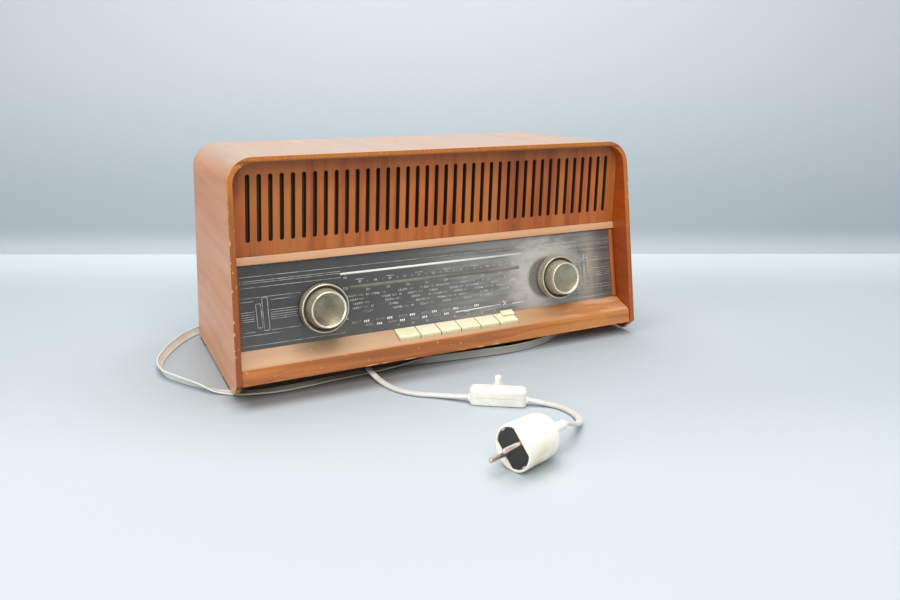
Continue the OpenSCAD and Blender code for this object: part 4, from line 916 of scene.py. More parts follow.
def make_plinth():
    """The front rail: one profile carried across the cabinet, with a second, cut-down profile between the ends
    of the key notch. The points that both profiles share stay joined. A point is its depth behind the
    cabinet's front and its height, in millimetres."""
    half = inner_half() - settings("cabinet").clearance
    left, right = key_row()
    notch, side_gap = 9.6, 0.8 * MM
    points = np.array([(1.5, 14.5), (3.1, 29.0), (3.6, 30.2), (4.8, 31.0), (notch, 0), (28.9, 40.6), (28.9, 38.8),
                       (46, 38.8), (46, 22.0), (46, 14.5), (notch, 22.0)]) * MM
    points[4, 1] = slope_height(notch * MM) - 0.05 * MM
    ends = np.array([-half, left - side_gap, right + side_gap, half])
    grid = joined(ends[:, None], front() + points[:, 0], points[:, 1])
    ids = np.arange(len(ends) * len(points)).reshape(len(ends), -1)
    whole, notched = [0, 1, 2, 3, 4, 5, 6, 7, 8, 9, 0], [0, 1, 2, 3, 4, 10, 8, 9, 0]
    faces = []
    for row, loop in enumerate((whole, notched, whole)):
        faces += [[ids[row, a], ids[row + 1, a], ids[row + 1, b], ids[row, b]] for a, b in zip(loop, loop[1:])]
    faces += [ids[row, [4, 5, 6, 7, 8, 10]].tolist() for row in (1, 2)]
    faces += [ids[row, :10].tolist() for row in (0, 3)]
    piece = piece_from("plinth", grid, faces, finishes=["plinth"])
    fit(soften(piece, 0.5 * MM), "cabinet", "plinth_wood", "front_plinth")


# Dial print


def digit_shapes():
    """Flat outlines of the ten digits from the built-in font, as points and faces one unit high."""
    shapes = []
    font_height = 0.73
    for digit in range(10):
        text = bpy.data.curves.new("digit", "FONT")
        text.body, text.resolution_u, text.align_x = str(digit), 1, "CENTER"
        writing = bpy.data.objects.new("digit", text)
        bpy.context.scene.collection.objects.link(writing)
        bpy.context.view_layer.update()
        mesh = bpy.data.meshes.new_from_object(writing)
        points = np.array([point.co[:2] for point in mesh.vertices])
        shapes.append((points * (1 / font_height), [list(face.vertices) for face in mesh.polygons]))
        bpy.data.objects.remove(writing)
        bpy.data.meshes.remove(mesh)
        bpy.data.curves.remove(text)
    return shapes


class Print:
    """Flat marks collected on the face of the dial, in millimetres across it and up from its seam."""

    def __init__(self, digits):
        self.digits, self.points, self.faces, self.count = digits, [], [], 0

    def shape(self, points, faces):
        self.points.append(np.asarray(points, float))
        self.faces += [[corner + self.count for corner in face] for face in faces]
        self.count += len(points)

    def line(self, x0, s0, x1, s1, thick):
        """A straight bar between two points."""
        a, b = np.array([x0, s0]), np.array([x1, s1])
        along = b - a
        over = np.array([-along[1], along[0]]) / np.linalg.norm(along) * thick / 2
        self.shape([a - over, b - over, b + over, a + over], [[0, 1, 2, 3]])

    def level(self, s, spans, thick):
        """A level line at one height, in parts."""
        for x0, x1 in spans:
            self.line(x0, s, x1, s, thick)

    def dot(self, x, s, radius):
        sides = 12
        turn = np.linspace(0, 2 * np.pi, sides + 1)[:-1]
        self.shape(joined(x + radius * np.cos(turn), s + radius * np.sin(turn)), [list(range(sides))])

    def ring(self, x, s, radius, thick):
        turn = np.linspace(0, 2 * np.pi, 25)
        rim = joined(np.cos(turn), np.sin(turn))
        row = len(turn)
        self.shape(np.vstack([rim * (radius - thick), rim * radius]) + [x, s],
                   [[k, k + 1, k + row + 1, k + row] for k in range(row - 1)])

    def frame(self, x, s, width, height, lean, thick):
        """An empty frame whose upright sides lean, the top to the left."""
        for side in (-1, 1):
            upright, end = x + side * width / 2, s + side * height / 2
            self.line(upright + lean / 2, s - height / 2, upright - lean / 2, s + height / 2, thick)
            middle = x - side * lean / 2
            self.line(middle - width / 2, end, middle + width / 2, end, thick)

    def number(self, value, x, s, size, bold=1.0):
        """A number, its digits side by side."""
        step = 0.62 * size * bold
        figures = str(value)
        for place, figure in enumerate(figures):
            points, faces = self.digits[int(figure)]
            start = [x + (place - (len(figures) - 1) / 2) * step, s - size * 0.36]
            self.shape(points * [size * bold, size] + start, faces)

    def piece(self, name, finish_name, proud=0.05 * MM):
        """All the marks as one piece, which stands proud of the glass."""
        flat = np.vstack([points * MM for points in self.points])
        made = piece_from(name, on_dial(flat[:, 0], -proud, flat[:, 1]), self.faces, finishes=[finish_name],
                          welded=False)
        shape = bmesh.new()
        shape.from_mesh(made.data)
        for face in shape.faces:
            if face.normal.y > 0:
                face.normal_flip()
        shape.to_mesh(made.data)
        shape.free()
        fit(thicken(made, 0.06 * MM, 1), "cabinet", "white_paint")


# Lines at the left, as their height and their right end, and rows of numbers, as their height and their places

LEFT_LINES = [(72.6, -122), (68.2, -122), (66.2, -122), (61.7, -122), (51.4, -166), (47.8, -178), (37.4, -168),
              (35.0, -168), (32.6, -168), (30.4, -168), (28.3, -168), (17.4, -168), (14.0, -186), (3.6, -120)]
BAND_ROWS = [(40.5, (-116.4, -90.5, -58, -33, -8, 19, 46, 74)), (36.3, (-115.5, -78, -47, -22, 4, 30, 57, 80)),
             (32.0, (-110, -74, -43, -17, 9, 36, 64)), (27.3, (-111.3, -70, -38, -12, 15, 42, 70)),
             (22.6, (-99.5, -65, -33, -6, 21, 48))]


def make_print():
    """White lines, scale bars, numbers and frames on the glass, with generic numbers only."""
    digits = digit_shapes()
    white, faint, olive, bright = (Print(digits) for _ in range(4))
    edge = inner_half() / MM - 6.5
    for s, stop in LEFT_LINES:
        through_frame = 16 < s < 48
        white.level(s, ((-edge, -213.8), (-197.6, stop)) if through_frame else ((-edge, stop),), 0.42)
        start = 122 if s > 55 else 168
        white.level(s, ((160.5, 182), (194, edge)) if through_frame else ((start, edge),), 0.36)
    white.level(72.6, ((-122, 122),), 0.3)
    bright.level(65.3, ((-122.6, 99.6),), 2.3)
    for box in ((-209.2, 32.8, 4.9, 24), (-202.5, 34.0, 5.5, 33), (185.2, 34.6, 4.6, 30), (191.4, 38.2, 4.6, 34)):
        white.frame(*box, 1.3, 0.5)
    olive.level(49.9, ((-112.7, 96),), 3.9)
    for k in range(13):
        x = -101 + k * 17.2
        white.number(87 + k, x, 55.0, 2.6, 1.15)
        if k % 2 == 0:
            white.level(57.9, ((x - 4.6, x + 4.6),), 0.55)
        white.dot(x + 8.6, 55.2, 0.55)
    for k in range(9):
        white.number(150 + 20 * k, -92.6 + k * 23.3, 45.6, 2.5, 1.1)
    for row, (s, starts) in enumerate(BAND_ROWS):
        for k, x in enumerate(starts):
            white.number(160297 - 9711 * k + 3100 * row, x + 5.4, s, 2.6, 1.2)
            if (k + row) % 5 != 4:
                faint.number(6140 + 713 * ((k * 5 + row * 3) % 5), x + 15.3, s + 0.1, 2.3)
            if (k * 2 + row) % 3 == 0:
                white.number(87 + k, x + 22.6, s + 0.1, 2.4, 1.15)
    for row, (s, first) in enumerate(((12.4, -112.6), (7.9, -98))):
        for k in range(6 - row):
            x = first + k * 26.6
            faint.number(40107 + 5303 * k + 650 * row, x + 5.2, s, 2.7, 1.2)
            for side in (14.2, 16.4, 18.6):
                bright.line(x + side, s - 1.2, x + side, s + 1.2, 1.5)
    for k in range(8):
        white.number(16 + 7 * k, -60 + k * 17.2, 3.4, 2.1, 1.15)
    bright.shape([(10, 7.5), (68.6, 9.1), (68.6, 10.0), (10, 8.6)], [[0, 1, 2, 3]])
    for slope in (-1, 1):
        bright.line(71.6, 10.4 - 2.6 * slope, 76.4, 10.4 + 2.6 * slope, 0.7)
    for s, value in ((60.6, 88), (49.4, 520), (17.0, 49)):
        white.number(value, -117.4, s, 2.6, 1.2)
    for turn in np.radians([150, 172, 194]):
        white.dot(144 + 36 * math.cos(turn), 33.7 + 36 * math.sin(turn), 0.8)
    white.ring(108.6, 68.2, 2.3, 0.45)
    bright.level(8.8, ((84, 102),), 0.8)
    white.piece("dial_print", "ink")
    bright.piece("dial_bars", "bright ink")
    faint.piece("dial_small_print", "faint ink")
    olive.piece("dial_band", "band", 0.02 * MM)


# Knobs


def make_knobs():
    """Two pairs of knobs. The outer one has a smooth skirt, a knurled rim with a painted highlight on its crest
    and a dark recess, the inner one a knurled wall, a rim with a painted highlight and a dished face; the knurling
    adds height * |sin(ridges * a / 2)| to the radius. The outlines are (radius, distance from the glass) in
    millimetres."""
    knobs = settings("knobs")
    outer, inner = knobs.outer_radius / MM, knobs.inner_radius / MM
    reach, top = knobs.outer_stand / MM, knobs.inner_stand / MM

    def knurl(low, high, least, height):
        """Ridges on the part of an outline between two distances and beyond a radius."""
        def ripple(outline, angle):
            radius, distance = outline.T
            inside = (distance > low * MM) & (distance < high * MM) & (radius > least * MM)
            return inside[:, None] * height * MM * (np.abs(np.sin(knobs.ridges * angle / 2)) - 0.5)
        return ripple

    skirt = [(5.2, 1.5), (outer - 1.6, 1.5), (outer - 0.6, 1.7), (outer - 0.1, 2.1)]
    wall = [(outer, z) for z in (2.6, 3.2, *np.linspace(5, reach - 2, 4), reach - 1.3, reach - 0.9)]
    rim = [(outer - 0.1, reach - 0.7), (outer - 0.35, reach - 0.25), (outer - 0.75, reach),
           (outer - 1.1, reach + 0.03), (outer - 1.5, reach - 0.1), (outer - 1.9, reach - 0.5)]
    hollow = [(outer - 2.5, reach - 1.6), (outer - 3.2, 9.3), (outer - 4.2, 8.4), (9.2, 8.4), (8.9, 8.9),
              (5.2, 9.0), (5.2, 1.5)]
    ring = np.array(skirt + wall + rim + hollow) * MM
    # band 1 takes the rim's painted highlight
    ring_bands = [2] * len(skirt) + [0] * (len(wall) + 1) + [1, 1] + [2] * (len(rim) + len(hollow) - 4)
    low, foot, bore, dish_radius = 9.8, inner + 2.1, 3.2, inner - 2.1
    boss = [(bore, low), (foot - 1.2, low), (foot - 0.4, low + 0.3), (foot, low + 0.8)]
    side = [(foot - 0.1, low + 1.2),
            *[(foot + (inner - foot) * k, low + (top - low) * k) for k in (0.16, 0.35, 0.55, 0.75, 0.88)]]
    bead = [(inner + 0.05, top - 1.3), (inner, top - 0.8), (inner - 0.2, top - 0.25), (inner - 0.6, top),
            (inner - 1.1, top - 0.02), (inner - 1.5, top - 0.3), (inner - 1.8, top - 0.9)]
    dish = [(r, top - 5.0 + 3.7 * (r / dish_radius) ** 2) for r in np.linspace(dish_radius, 0, 14)]
    boss_back = [(0, top - 6.6), (bore, top - 6.6), (bore, low)]
    cap = np.array(boss + side + bead + dish + boss_back) * MM
    cap_bands = [0] * (len(boss) + len(side)) + [1] * len(bead) + [2] * (len(dish) - 1) + [0] * len(boss_back)
    for name, sign, ring_body, cap_body in (("left", -1, "tone_knob", "volume_knob"),
                                            ("right", 1, "fm_tuning_knob", "am_tuning_knob")):
        def place(x, out, z):
            return on_dial(sign * knobs.distance + x, -out, knobs.rise + z)

        fit(turned(name + "_outer_ring", ring, place, 360, ["knurl", "rim", "recess"], ring_bands[:len(ring) - 1],
                   knurl(2.7, reach - 1.1, outer - 0.3, 0.4)), ring_body, "knob_metal", name + "_outer_knob")
        fit(turned(name + "_inner_cap", cap, place, 360, ["knurl", "rim", "knob"], cap_bands,
                   knurl(low + 1.0, top - 1.35, inner - 0.1, 0.36)), cap_body, "knob_metal", name + "_inner_knob")


# Keys


def make_keys():
    """Six caps: a profile across the row's depth carried over each key's width, its lever and its axle eye
    as two more carried shapes. The last one has a raised finger rest at its back corner."""
    keys, dial = settings("keys"), settings("dial")
    width = keys.pitch - keys.gap
    nose, under, foot = 10.2 * MM, 28.5 * MM, 35 * MM
    back = dial.set_back - 0.7 * MM
    lip = back - 9.6 * MM

    def top(depth):
        return slope_height(depth) + keys.rise - 2.7 * MM * (depth - nose) / (back - nose)

    cap = rounded_outline([(nose, under), (nose, top(nose)), (back, top(back) - 0.3 * MM), (back, foot),
                           (back - MM, 32 * MM), (nose + 8 * MM, under)],
                          np.array([0.4, 1.7, 0.8, 0.3, 0.3, 0.3]) * MM)
    root = back / MM - 6
    turn = np.linspace(np.pi / 2, -np.pi / 2, 9)
    eye = joined(74 + 4.2 * np.cos(turn), 37 + 4.2 * np.sin(turn))
    lever = np.vstack([[(root, 32), (root, 35), (68, 39), (70.4, 39.6)], eye, [(70.4, 34.4), (68, 35)]]) * MM
    rest = rounded_outline([(at + x * MM, top(at) + z * MM)
                            for at, x, z in ((lip, 5.5, -1), (lip, 5.5, 0.9), (lip, 0.4, 1.3), (lip, 0, 2.9),
                                             (back, -1.4, 3.2), (back, -1.2, -1.5))],
                           np.array([0.3, 0.4, 0.5, 0.6, 1.0, 0.3]) * MM)
    last = KEY_COUNT - 1
    for number in range(KEY_COUNT):
        key = f"key_{number + 1}"
        start = key_row()[0] + number * keys.pitch
        stop, middle = start + width, start + width / 2

        def made(name, outline, x0, x1):
            return rail(f"{key}_{name}", outline + [front(), 0], (x0, x1), ["keys", "key gap"])

        piece = made("cap", cap, start, stop)
        # the ends that face a neighbouring key take the painted gap shade
        outer_side = {0: -1, last: 1}.get(number, 0)
        for face in piece.data.polygons:
            if face.normal.x * outer_side < 0.9 < abs(face.normal.x):
                face.material_index = 1
        fit(soften(piece, 0.45 * MM, 3, 50), key, "ivory", key)
        fit(made("lever", lever, middle - 6 * MM, middle + 6 * MM), key, "ivory")
        if number == last:
            fit(soften(made("finger_rest", rest, stop - 15 * MM, stop), 0.45 * MM, 3, 50), key, "ivory")


# Leads: the route's points are x, y and least height of the middle in millimetres, and where it
# isn't level the lean of the flat section in degrees

REAR = [(150, 133, 46), (150, 143, 45), (150, 158, 36), (150, 174, 20), (148, 190, 8), (142, 206, 2.6),
        (129, 219, 2.2), (110, 225, 2), (90, 226.4, 2), (70, 226.6, 2)]
FRONT = [(70, 137.4, 6.4), (80, 137.2, 6.2), (95, 134, 4.6), (110, 124, 2.8), (114, 108, 2), (104, 90, 2),
         (76, 68, 2), (40, 42, 2), (0, 14, 2), (-38, -14, 2), (-70, -42, 2), (-90, -68, 2.4), (-98, -90, 4.6),
         (-99, -106, 3.8), (-97.5, -125, 2.3), (-94, -144, 2), (-87, -160, 2), (-76, -173, 2), (-62, -184, 2.4),
         (-50, -196, 3.6), (-41.5, -204.5, 4.8), (-38.1, -207.8, 5)]
TO_PLUG = [(7.1, -238.2, 5), (11, -240.8, 4.8), (19, -246.4, 3.2), (27, -254, 2), (32, -265, 2), (33, -279, 2),
           (29, -292, 3.4), (20.5, -303.5, 6), (10, -312.3, 10.4), (0.6, -318.6, 15.4), (-6.1, -322.3, 18.6),
           (-9.5, -323.5, 19)]
RIBBON = [(-58, 123.2, 47, 0), (-58, 132, 46.5, 0), (-60, 145, 40, 4), (-67, 157, 27, 12), (-82, 166, 14, 30),
          (-104, 168, 7.4, 50), (-135, 163, 5, 62), (-170, 152, 5, 64), (-210, 136, 5, 64), (-247, 115, 5, 64),
          (-271, 83, 5, 62), (-287, 50, 5, 62), (-295.5, 20, 5, 62), (-294, -10, 5, 62), (-283, -34, 5, 62),
          (-266, -60, 4.2, 46), (-252, -76, 2, 12), (-237, -86, 0, 0), (-220, -94, 1.2, 0), (-196, -100, 2, -8),
          (-165, -98.5, 2, -8), (-135, -94.5, 1.5, -4), (-99, -92, 0, 0), (-66, -94, 2.4, 20), (-30, -98, 5, 62),
          (20, -104, 5.3, 72), (70, -108, 5.3, 72), (108, -102, 5.3, 72), (140, -88, 5.3, 72), (164, -62, 5.3, 72),
          (176, -28, 5.3, 72), (181, 10, 5, 62), (184, 50, 4, 40), (187, 90, 2, 12), (190, 124, 1.5, 4),
          (192, 146, 2.6, 0), (193, 160, 6.6, 0)]
COIL_PLACE = np.array([0.070, 0.182])


def smooth_route(route, steps):
    """A curve through a route's points: between two of them, the cubic that also heads for their neighbours."""
    q = np.array(route, float) / ([1000] * 3 + [1])[:len(route[0])]
    q = np.vstack([q[:1], q, q[-1:]])
    p, a, b, c = (q[k:len(q) - 3 + k, None] for k in range(4))
    t = np.linspace(0, 1, steps + 1)[:-1][None, :, None]
    curve = 0.5 * (2 * a + (b - p) * t + (2 * p - 5 * a + 4 * b - c) * t ** 2 + (3 * a - p - 3 * b + c) * t ** 3)
    return np.vstack([curve.reshape(-1, q.shape[1]), q[-1:]])


def laid(route, width, thickness, steps=6):
    """The middle line and the lean of a flat lead that rests on the table: no point lies lower than half the
    height that its leaning section takes up."""
    curve = smooth_route(route, steps)
    lean = np.radians(curve[:, 3]) if curve.shape[1] > 3 else np.zeros(len(curve))
    least = width / 2 * np.abs(np.sin(lean)) + thickness / 2 * np.cos(lean) + 0.15 * MM
    return joined(curve[:, 0], curve[:, 1], np.maximum(curve[:, 2], least)), lean


def coil_line(width, thickness, turns=2.0, per_turn=48):
    """The put-away coil: at angle 90 + 360 t degrees it winds inwards on the table, climbs during half a turn and
    winds outwards on top of itself."""
    t = np.linspace(0, 2 * turns + 0.5, int((2 * turns + 0.5) * per_turn) + 1)
    inner, step = settings("leads").coil_radius, width + 0.9 * MM
    climb = t - turns
    crossing = inner - step * np.minimum(climb, 0.5 - climb)
    radius = np.where(climb < 0, inner - climb * step,
                      np.where(climb < 0.5, crossing, inner + (climb - 0.5) * step))
    height = thickness / 2 + 0.1 * MM + (thickness + 0.6 * MM) * np.clip(2 * climb, 0, 1)
    angle = np.radians(90 + 360 * t)
    return joined(COIL_PLACE[0] + radius * np.cos(angle), COIL_PLACE[1] + radius * np.sin(angle), height)


def lead_tube(name, line, lean, section, finish_name):
    """A closed section carried along a line: at each point it is set square to the line's heading, its width
    level and then turned by the lean. Gives the piece and its length."""
    heading = np.gradient(line, axis=0)
    heading /= np.linalg.norm(heading, axis=1)[:, None]
    right = joined(heading[:, 1], -heading[:, 0], 0.0)
    right /= np.linalg.norm(right, axis=1)[:, None]
    up = np.cross(right, heading)
    across = np.cos(lean)[:, None] * right + np.sin(lean)[:, None] * up
    over = np.cross(across, heading)
    section = closed(section)
    grid = line[:, None] + across[:, None] * section[None, :, :1] + over[:, None] * section[None, :, 1:]
    length = np.concatenate([[0], np.cumsum(np.linalg.norm(np.diff(line, axis=0), axis=1))])
    uv = joined(length[:, None], np.linspace(0, 0.02, len(section)))
    return surface(name, grid, (0, len(grid) - 1), uv, None, [finish_name], 80), length[-1]


def twin_section(width, thickness, columns=26):
    """Outline of a flat twin lead: two round cores side by side, with a shallow groove between them."""
    turn = np.linspace(0, 2 * np.pi, columns + 1)[:-1]
    core = thickness / 2
    x = (width / 2 - core) * np.clip(2.2 * np.cos(turn), -1, 1) + core * np.cos(turn)
    groove = 1 - 0.24 * np.exp(-(x / (0.22 * width)) ** 2 * 4)
    return joined(x, core * np.sin(turn) * groove)


def ribbon_section(width, thickness):
    """Outline of a ribbon lead: a round bead along each edge and a thin web between them."""
    bead, web = thickness / 2, 0.33 * MM
    turn = np.linspace(-2.4, 2.4, 9)
    right = joined(width / 2 - bead + bead * np.cos(turn), bead * np.sin(turn))
    middle = joined(np.linspace(0.55, -0.55, 4) * width / 2, web)
    return np.vstack([right, middle, -right, -middle])


def make_leads():
    """The mains lead from the gland through its coil to the switch, the lead from the switch to the plug, the
    ribbon lead, and the tie round the coil."""
    leads = settings("leads")
    width, thickness = leads.mains_width, leads.mains_thickness
    section = twin_section(width, thickness)
    flat = leads.ribbon_width, leads.ribbon_thickness
    rear, front_run = (laid(route, width, thickness)[0] for route in (REAR, FRONT))
    whole = np.vstack([rear[:-1], coil_line(width, thickness)[:-1], front_run])
    mains, mains_length = lead_tube("mains_lead", whole, np.zeros(len(whole)), section, "mains")
    tail, level = laid(TO_PLUG, width, thickness)
    plug_lead, plug_length = lead_tube("plug_lead", tail, level, section, "mains")
    ribbon_line, lean = laid(RIBBON, *flat)
    ribbon, ribbon_length = lead_tube("ribbon_lead", ribbon_line, lean, ribbon_section(*flat), "ribbon")
    fit(mains, "cabinet", "lead_plastic", "mains_lead_rear", "mains_coil", "mains_lead_front")
    fit(plug_lead, "cabinet", "lead_plastic", "mains_lead_plug")
    fit(ribbon, "cabinet", "ribbon_plastic", "aerial_lead")
    tie = make_coil_tie(width, thickness)
    print("lead lengths", round(mains_length, 3), round(plug_length, 3), round(ribbon_length, 3))


def make_coil_tie(width, thickness):
    """A soft strap round the coil's turns on its left side: a rounded band whose outline goes round the two
    layers of turns, carried over its own width."""
    inner = settings("leads").coil_radius
    step = width + 0.9 * MM
    near_side, far_side = inner - width / 2 - 1.6 * MM, inner + 2 * step + width / 2 + 0.5 * MM
    foot, top, half = 0.02 * MM, 2 * thickness + 1.3 * MM, 3 * MM
    outline = rounded_outline([(near_side, foot), (far_side, foot), (far_side, top), (near_side, top)],
                              1.6 * MM, 6)
    middle = outline.mean(0)
    hole = middle + (outline - middle) * (1 - np.array([1.1, 1.5]) * MM / np.ptp(outline, axis=0))
    hole[:, 1] = np.maximum(hole[:, 1], 0.085 * MM)
    loops = [(outline, -half), (outline, half), (hole, half), (hole, -half), (outline, -half)]
    grid = np.array([joined(COIL_PLACE[0] - loop[:, 0], COIL_PLACE[1] + y, loop[:, 1]) for loop, y in loops])
    grid = np.concatenate([grid, grid[:, :1]], 1)
    return fit(surface("coil_tie", grid, finishes=["insert"]), "cabinet", "insert_plastic")


SWITCH_PLACE, SWITCH_TURN = np.array([-0.0155, -0.223]), math.radians(-34)
SWITCH_SIZE = np.array([54.5, 17.0, 16.0]) * MM
SWITCH_SEAM = 8 * MM


def on_switch(x, y, z):
    """Points of the lead switch, turned about its middle and set on the table."""
    cos, sin = math.cos(SWITCH_TURN), math.sin(SWITCH_TURN)
    return joined(SWITCH_PLACE[0] + x * cos - y * sin, SWITCH_PLACE[1] + x * sin + y * cos, z)


def plan_outline(length, width, radius, steps=9):
    """A rectangle with round corners, anticlockwise, as quarter circles joined by straight sides."""
    turn = np.linspace(0, np.pi / 2, steps)
    corners = ((1, 1), (-1, 1), (-1, -1), (1, -1))
    return closed(np.vstack([joined(sx * (length / 2 - radius) + radius * np.cos(turn + k * np.pi / 2),
                                    sy * (width / 2 - radius) + radius * np.sin(turn + k * np.pi / 2))
                             for k, (sx, sy) in enumerate(corners)]))


def make_switch():
    """Lead switch: two moulded halves that meet at a seam, each a stack of plan outlines drawn in by an inset at
    each height, a collar that runs up to the push button, and two sunk screws. The turned outlines are
    (radius, height) in millimetres."""
    length, width, height = SWITCH_SIZE

    def shell(name, layers, node):
        grid = []
        for inset, z in layers:
            ring = plan_outline(length - 2 * inset, width - 2 * inset, max(6 * MM - inset, 1.2 * MM))
            grid.append(on_switch(ring[:, 0], ring[:, 1], z))
        piece = surface(name, np.stack(grid), (0, len(layers) - 1), finishes=["switch"], sharp=50)
        fit(piece, "cabinet", "white_plastic", node)

    def standing(name, outline, x, columns, finish_name, body="cabinet", *nodes):
        """A turned piece that stands upright on the switch."""
        piece = turned(name, np.array(outline) * MM, lambda across, z, along: on_switch(x + across, along, z),
                       columns, [finish_name])
        fit(piece, body, "white_plastic", *nodes)

    seam, flush, groove = SWITCH_SEAM, 0.02 * MM, 0.45 * MM
    rest = [(math.sin(a), math.cos(a)) for a in np.linspace(0, np.pi / 2, 7)]
    foot = [(1.6 * (1 - sin) * MM + flush, 1.6 * (1 - cos) * MM) for sin, cos in rest]
    crown = [(flush + 3.2 * (1 - cos) * MM, height - 3.2 * (1 - sin) * MM) for sin, cos in rest]
    shell("switch_shell", [*foot, (flush, seam - 0.5 * MM), (groove, seam - 0.25 * MM)], "switch_base")
    shell("switch_cap", [(groove, seam - 0.2 * MM), (flush, seam + 0.1 * MM), *crown], "switch_cover")
    standing("switch_collar", [(3.8, 14.5), (7.4, 15.4), (6.3, 16.1), (5.5, 17.2), (4.9, 18.8), (4.4, 19.5),
                               (3.75, 19.5), (3.75, 14.5)], 0, 48, "switch")
    standing("switch_pin", [(0, 15), (3.35, 15), (3.35, 26.3), (3.15, 27.0), (2.6, 27.45), (1.2, 27.5), (0, 27.5)],
             0, 40, "switch", "switch_button", "switch_button")
    head = [(0, 15.4), (1.75, 15.4), (1.8, 16.0), (1.5, 16.16), (0.5, 16.12), (0.42, 15.9), (0, 15.9)]
    for number, x in enumerate((-9.75 * MM, 9.75 * MM)):
        standing(f"switch_screw_{number + 1}", head, x, 24, "pin")
    sleeve = np.array([(0, -2.0), (4.6, -2.0), (4.5, 0.2), (4.0, 1.2), (3.7, 1.5), (0, 1.5)]) * MM
    for number, side in enumerate((-1, 1)):
        fit(turned(f"switch_mouth_{number + 1}", sleeve,
                   lambda across, out, up: on_switch(side * (length / 2 + out), across, 5.0 * MM + up * 0.85), 32,
                   ["switch"]), "cabinet", "white_plastic")


PLUG_PLACE = np.array([-0.0715, -0.3428, 0.019])
PLUG_TURN, PLUG_ROLL = math.radians(197.3), math.radians(42.6)


def on_plug(x, y, z):
    """Points of the plug: rolled about its own length, turned and set on the table."""
    roll_cos, roll_sin = math.cos(PLUG_ROLL), math.sin(PLUG_ROLL)
    y, z = y * roll_cos - z * roll_sin, y * roll_sin + z * roll_cos
    cos, sin = math.cos(PLUG_TURN), math.sin(PLUG_TURN)
    return PLUG_PLACE + joined(x * cos - y * sin, x * sin + y * cos, z)


def make_plug():
    """Plug body: its outer wall is a (radius, distance) outline turned about the plug's length, its mouth a ring
    of the same angles drawn in from the round rim to the two-flatted hollow. The hollow's layers are a depth
    and a growth."""
    outer = np.array([(3.7, -65), (3.9, -64.6), (4.8, -50), (5.4, -47.6), (7, -46), (9, -45.2), (11.4, -44.3),
                      (13.4, -42.8), (15, -41), (16.6, -38.6), (17.9, -35.4), (18.6, -31.6), (18.9, -27),
                      (18.95, -14), (19, -1.6), (18.85, -0.7), (18.4, -0.15), (17.9, 0)]) * MM
    turn = np.linspace(0, 2 * np.pi, 145)
    hollow, flat = 16.9 * MM, 12.1 * MM
    hollow_y, hollow_z = np.clip(hollow * np.cos(turn), -flat, flat), hollow * np.sin(turn)
    depth, grow = np.array([[(-0.05 * MM, 1.012)], [(-0.5 * MM, 1.0)], [(-9.9 * MM, 1.0)]]).transpose(2, 0, 1)
    grid = np.concatenate([joined(outer[:, 1:], outer[:, :1] * np.cos(turn), outer[:, :1] * np.sin(turn)),
                           joined(depth, hollow_y * grow, hollow_z * grow)])
    piece = surface("plug_shell", on_plug(grid[..., 0], grid[..., 1], grid[..., 2]), (0, len(grid) - 1),
                    finishes=["plug"], sharp=40)
    fit(piece, "cabinet", "plug_plastic", "plug_body")


# Frame nodes that stay, and the finish that each gets

NODE_FINISHES = {
    "back_battens": "pale wood", "glides": "felt", "bottom_board": "hardboard", "back_cover": "hardboard",
    "back_screws": "screw", "dial_glass": "glass", "dial_backplate": "white paint", "pointer_rails": "steel",
    "fm_pointer": "red plastic", "am_pointer": "red plastic", "drive_drum": "drum plastic", "dial_lamps": "lamp",
    "left_inner_shaft": "steel", "left_outer_shaft": "steel", "right_inner_shaft": "steel",
    "right_outer_shaft": "steel", "volume_pot": "steel", "tuning_bearing": "steel",
    "key_switch_unit": "brown plastic", "chassis": "chassis", "tuning_capacitor": "aluminium",
    "tuning_rotor": "brass", "mains_transformer": "iron", "output_transformer": "iron", "valves": "bulb",
    "screening_cans": "aluminium", "ferrite_rod": "ferrite", "socket_panel": "brown plastic",
    "left_speaker": "speaker", "right_speaker": "speaker", "speaker_cones": "cone paper", "mains_gland": "mains",
    "plug_insert": "insert", "plug_contacts": "pin", "aerial_plugs": "plug",
}


def dress_frame():
    for node, finish_name in NODE_FINISHES.items():
        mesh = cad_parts[node].data
        mesh.materials.clear()
        mesh.materials.append(shared(finish_name))


# Stage: the camera fitted to the photograph, with its turn, dip and roll in radians, and how far ahead of it the
# floor ends and the wall stands

CAMERA_PLACE = (-0.377988, -0.849836, 0.306409)
CAMERA_YAW, CAMERA_PITCH, CAMERA_ROLL = 0.4608, 0.1056, 0.0007
LENS, SHIFT_Y = 31.3365, -0.1499
TABLE_REACH, WALL_REACH = 1.38, 2.3
AHEAD = np.array([math.sin(CAMERA_YAW), math.cos(CAMERA_YAW), 0.0])
ASIDE = np.array([AHEAD[1], -AHEAD[0], 0.0])


def make_camera():
    """A camera at the photograph's angle: it looks along a direction given by a turn to the right of +Y and a
    dip below the horizon, and is rolled about that direction."""
    dip, roll = (math.cos(CAMERA_PITCH), math.sin(CAMERA_PITCH)), (math.cos(CAMERA_ROLL), math.sin(CAMERA_ROLL))
    forward = AHEAD * dip[0] - [0.0, 0.0, dip[1]]
    up = np.cross(ASIDE, forward)
    right, up = roll[0] * ASIDE - roll[1] * up, roll[1] * ASIDE + roll[0] * up
    data = bpy.data.cameras.new("Camera")
    data.lens, data.sensor_width, data.shift_y = LENS, 36.0, SHIFT_Y
    data.clip_start, data.clip_end = 0.01, 50
    camera = bpy.data.objects.new("Camera", data)
    camera.matrix_world = Matrix([*joined(right, up, -forward, CAMERA_PLACE).tolist(), [0, 0, 0, 1]])
    bpy.context.scene.collection.objects.link(camera)
    bpy.context.scene.camera = camera


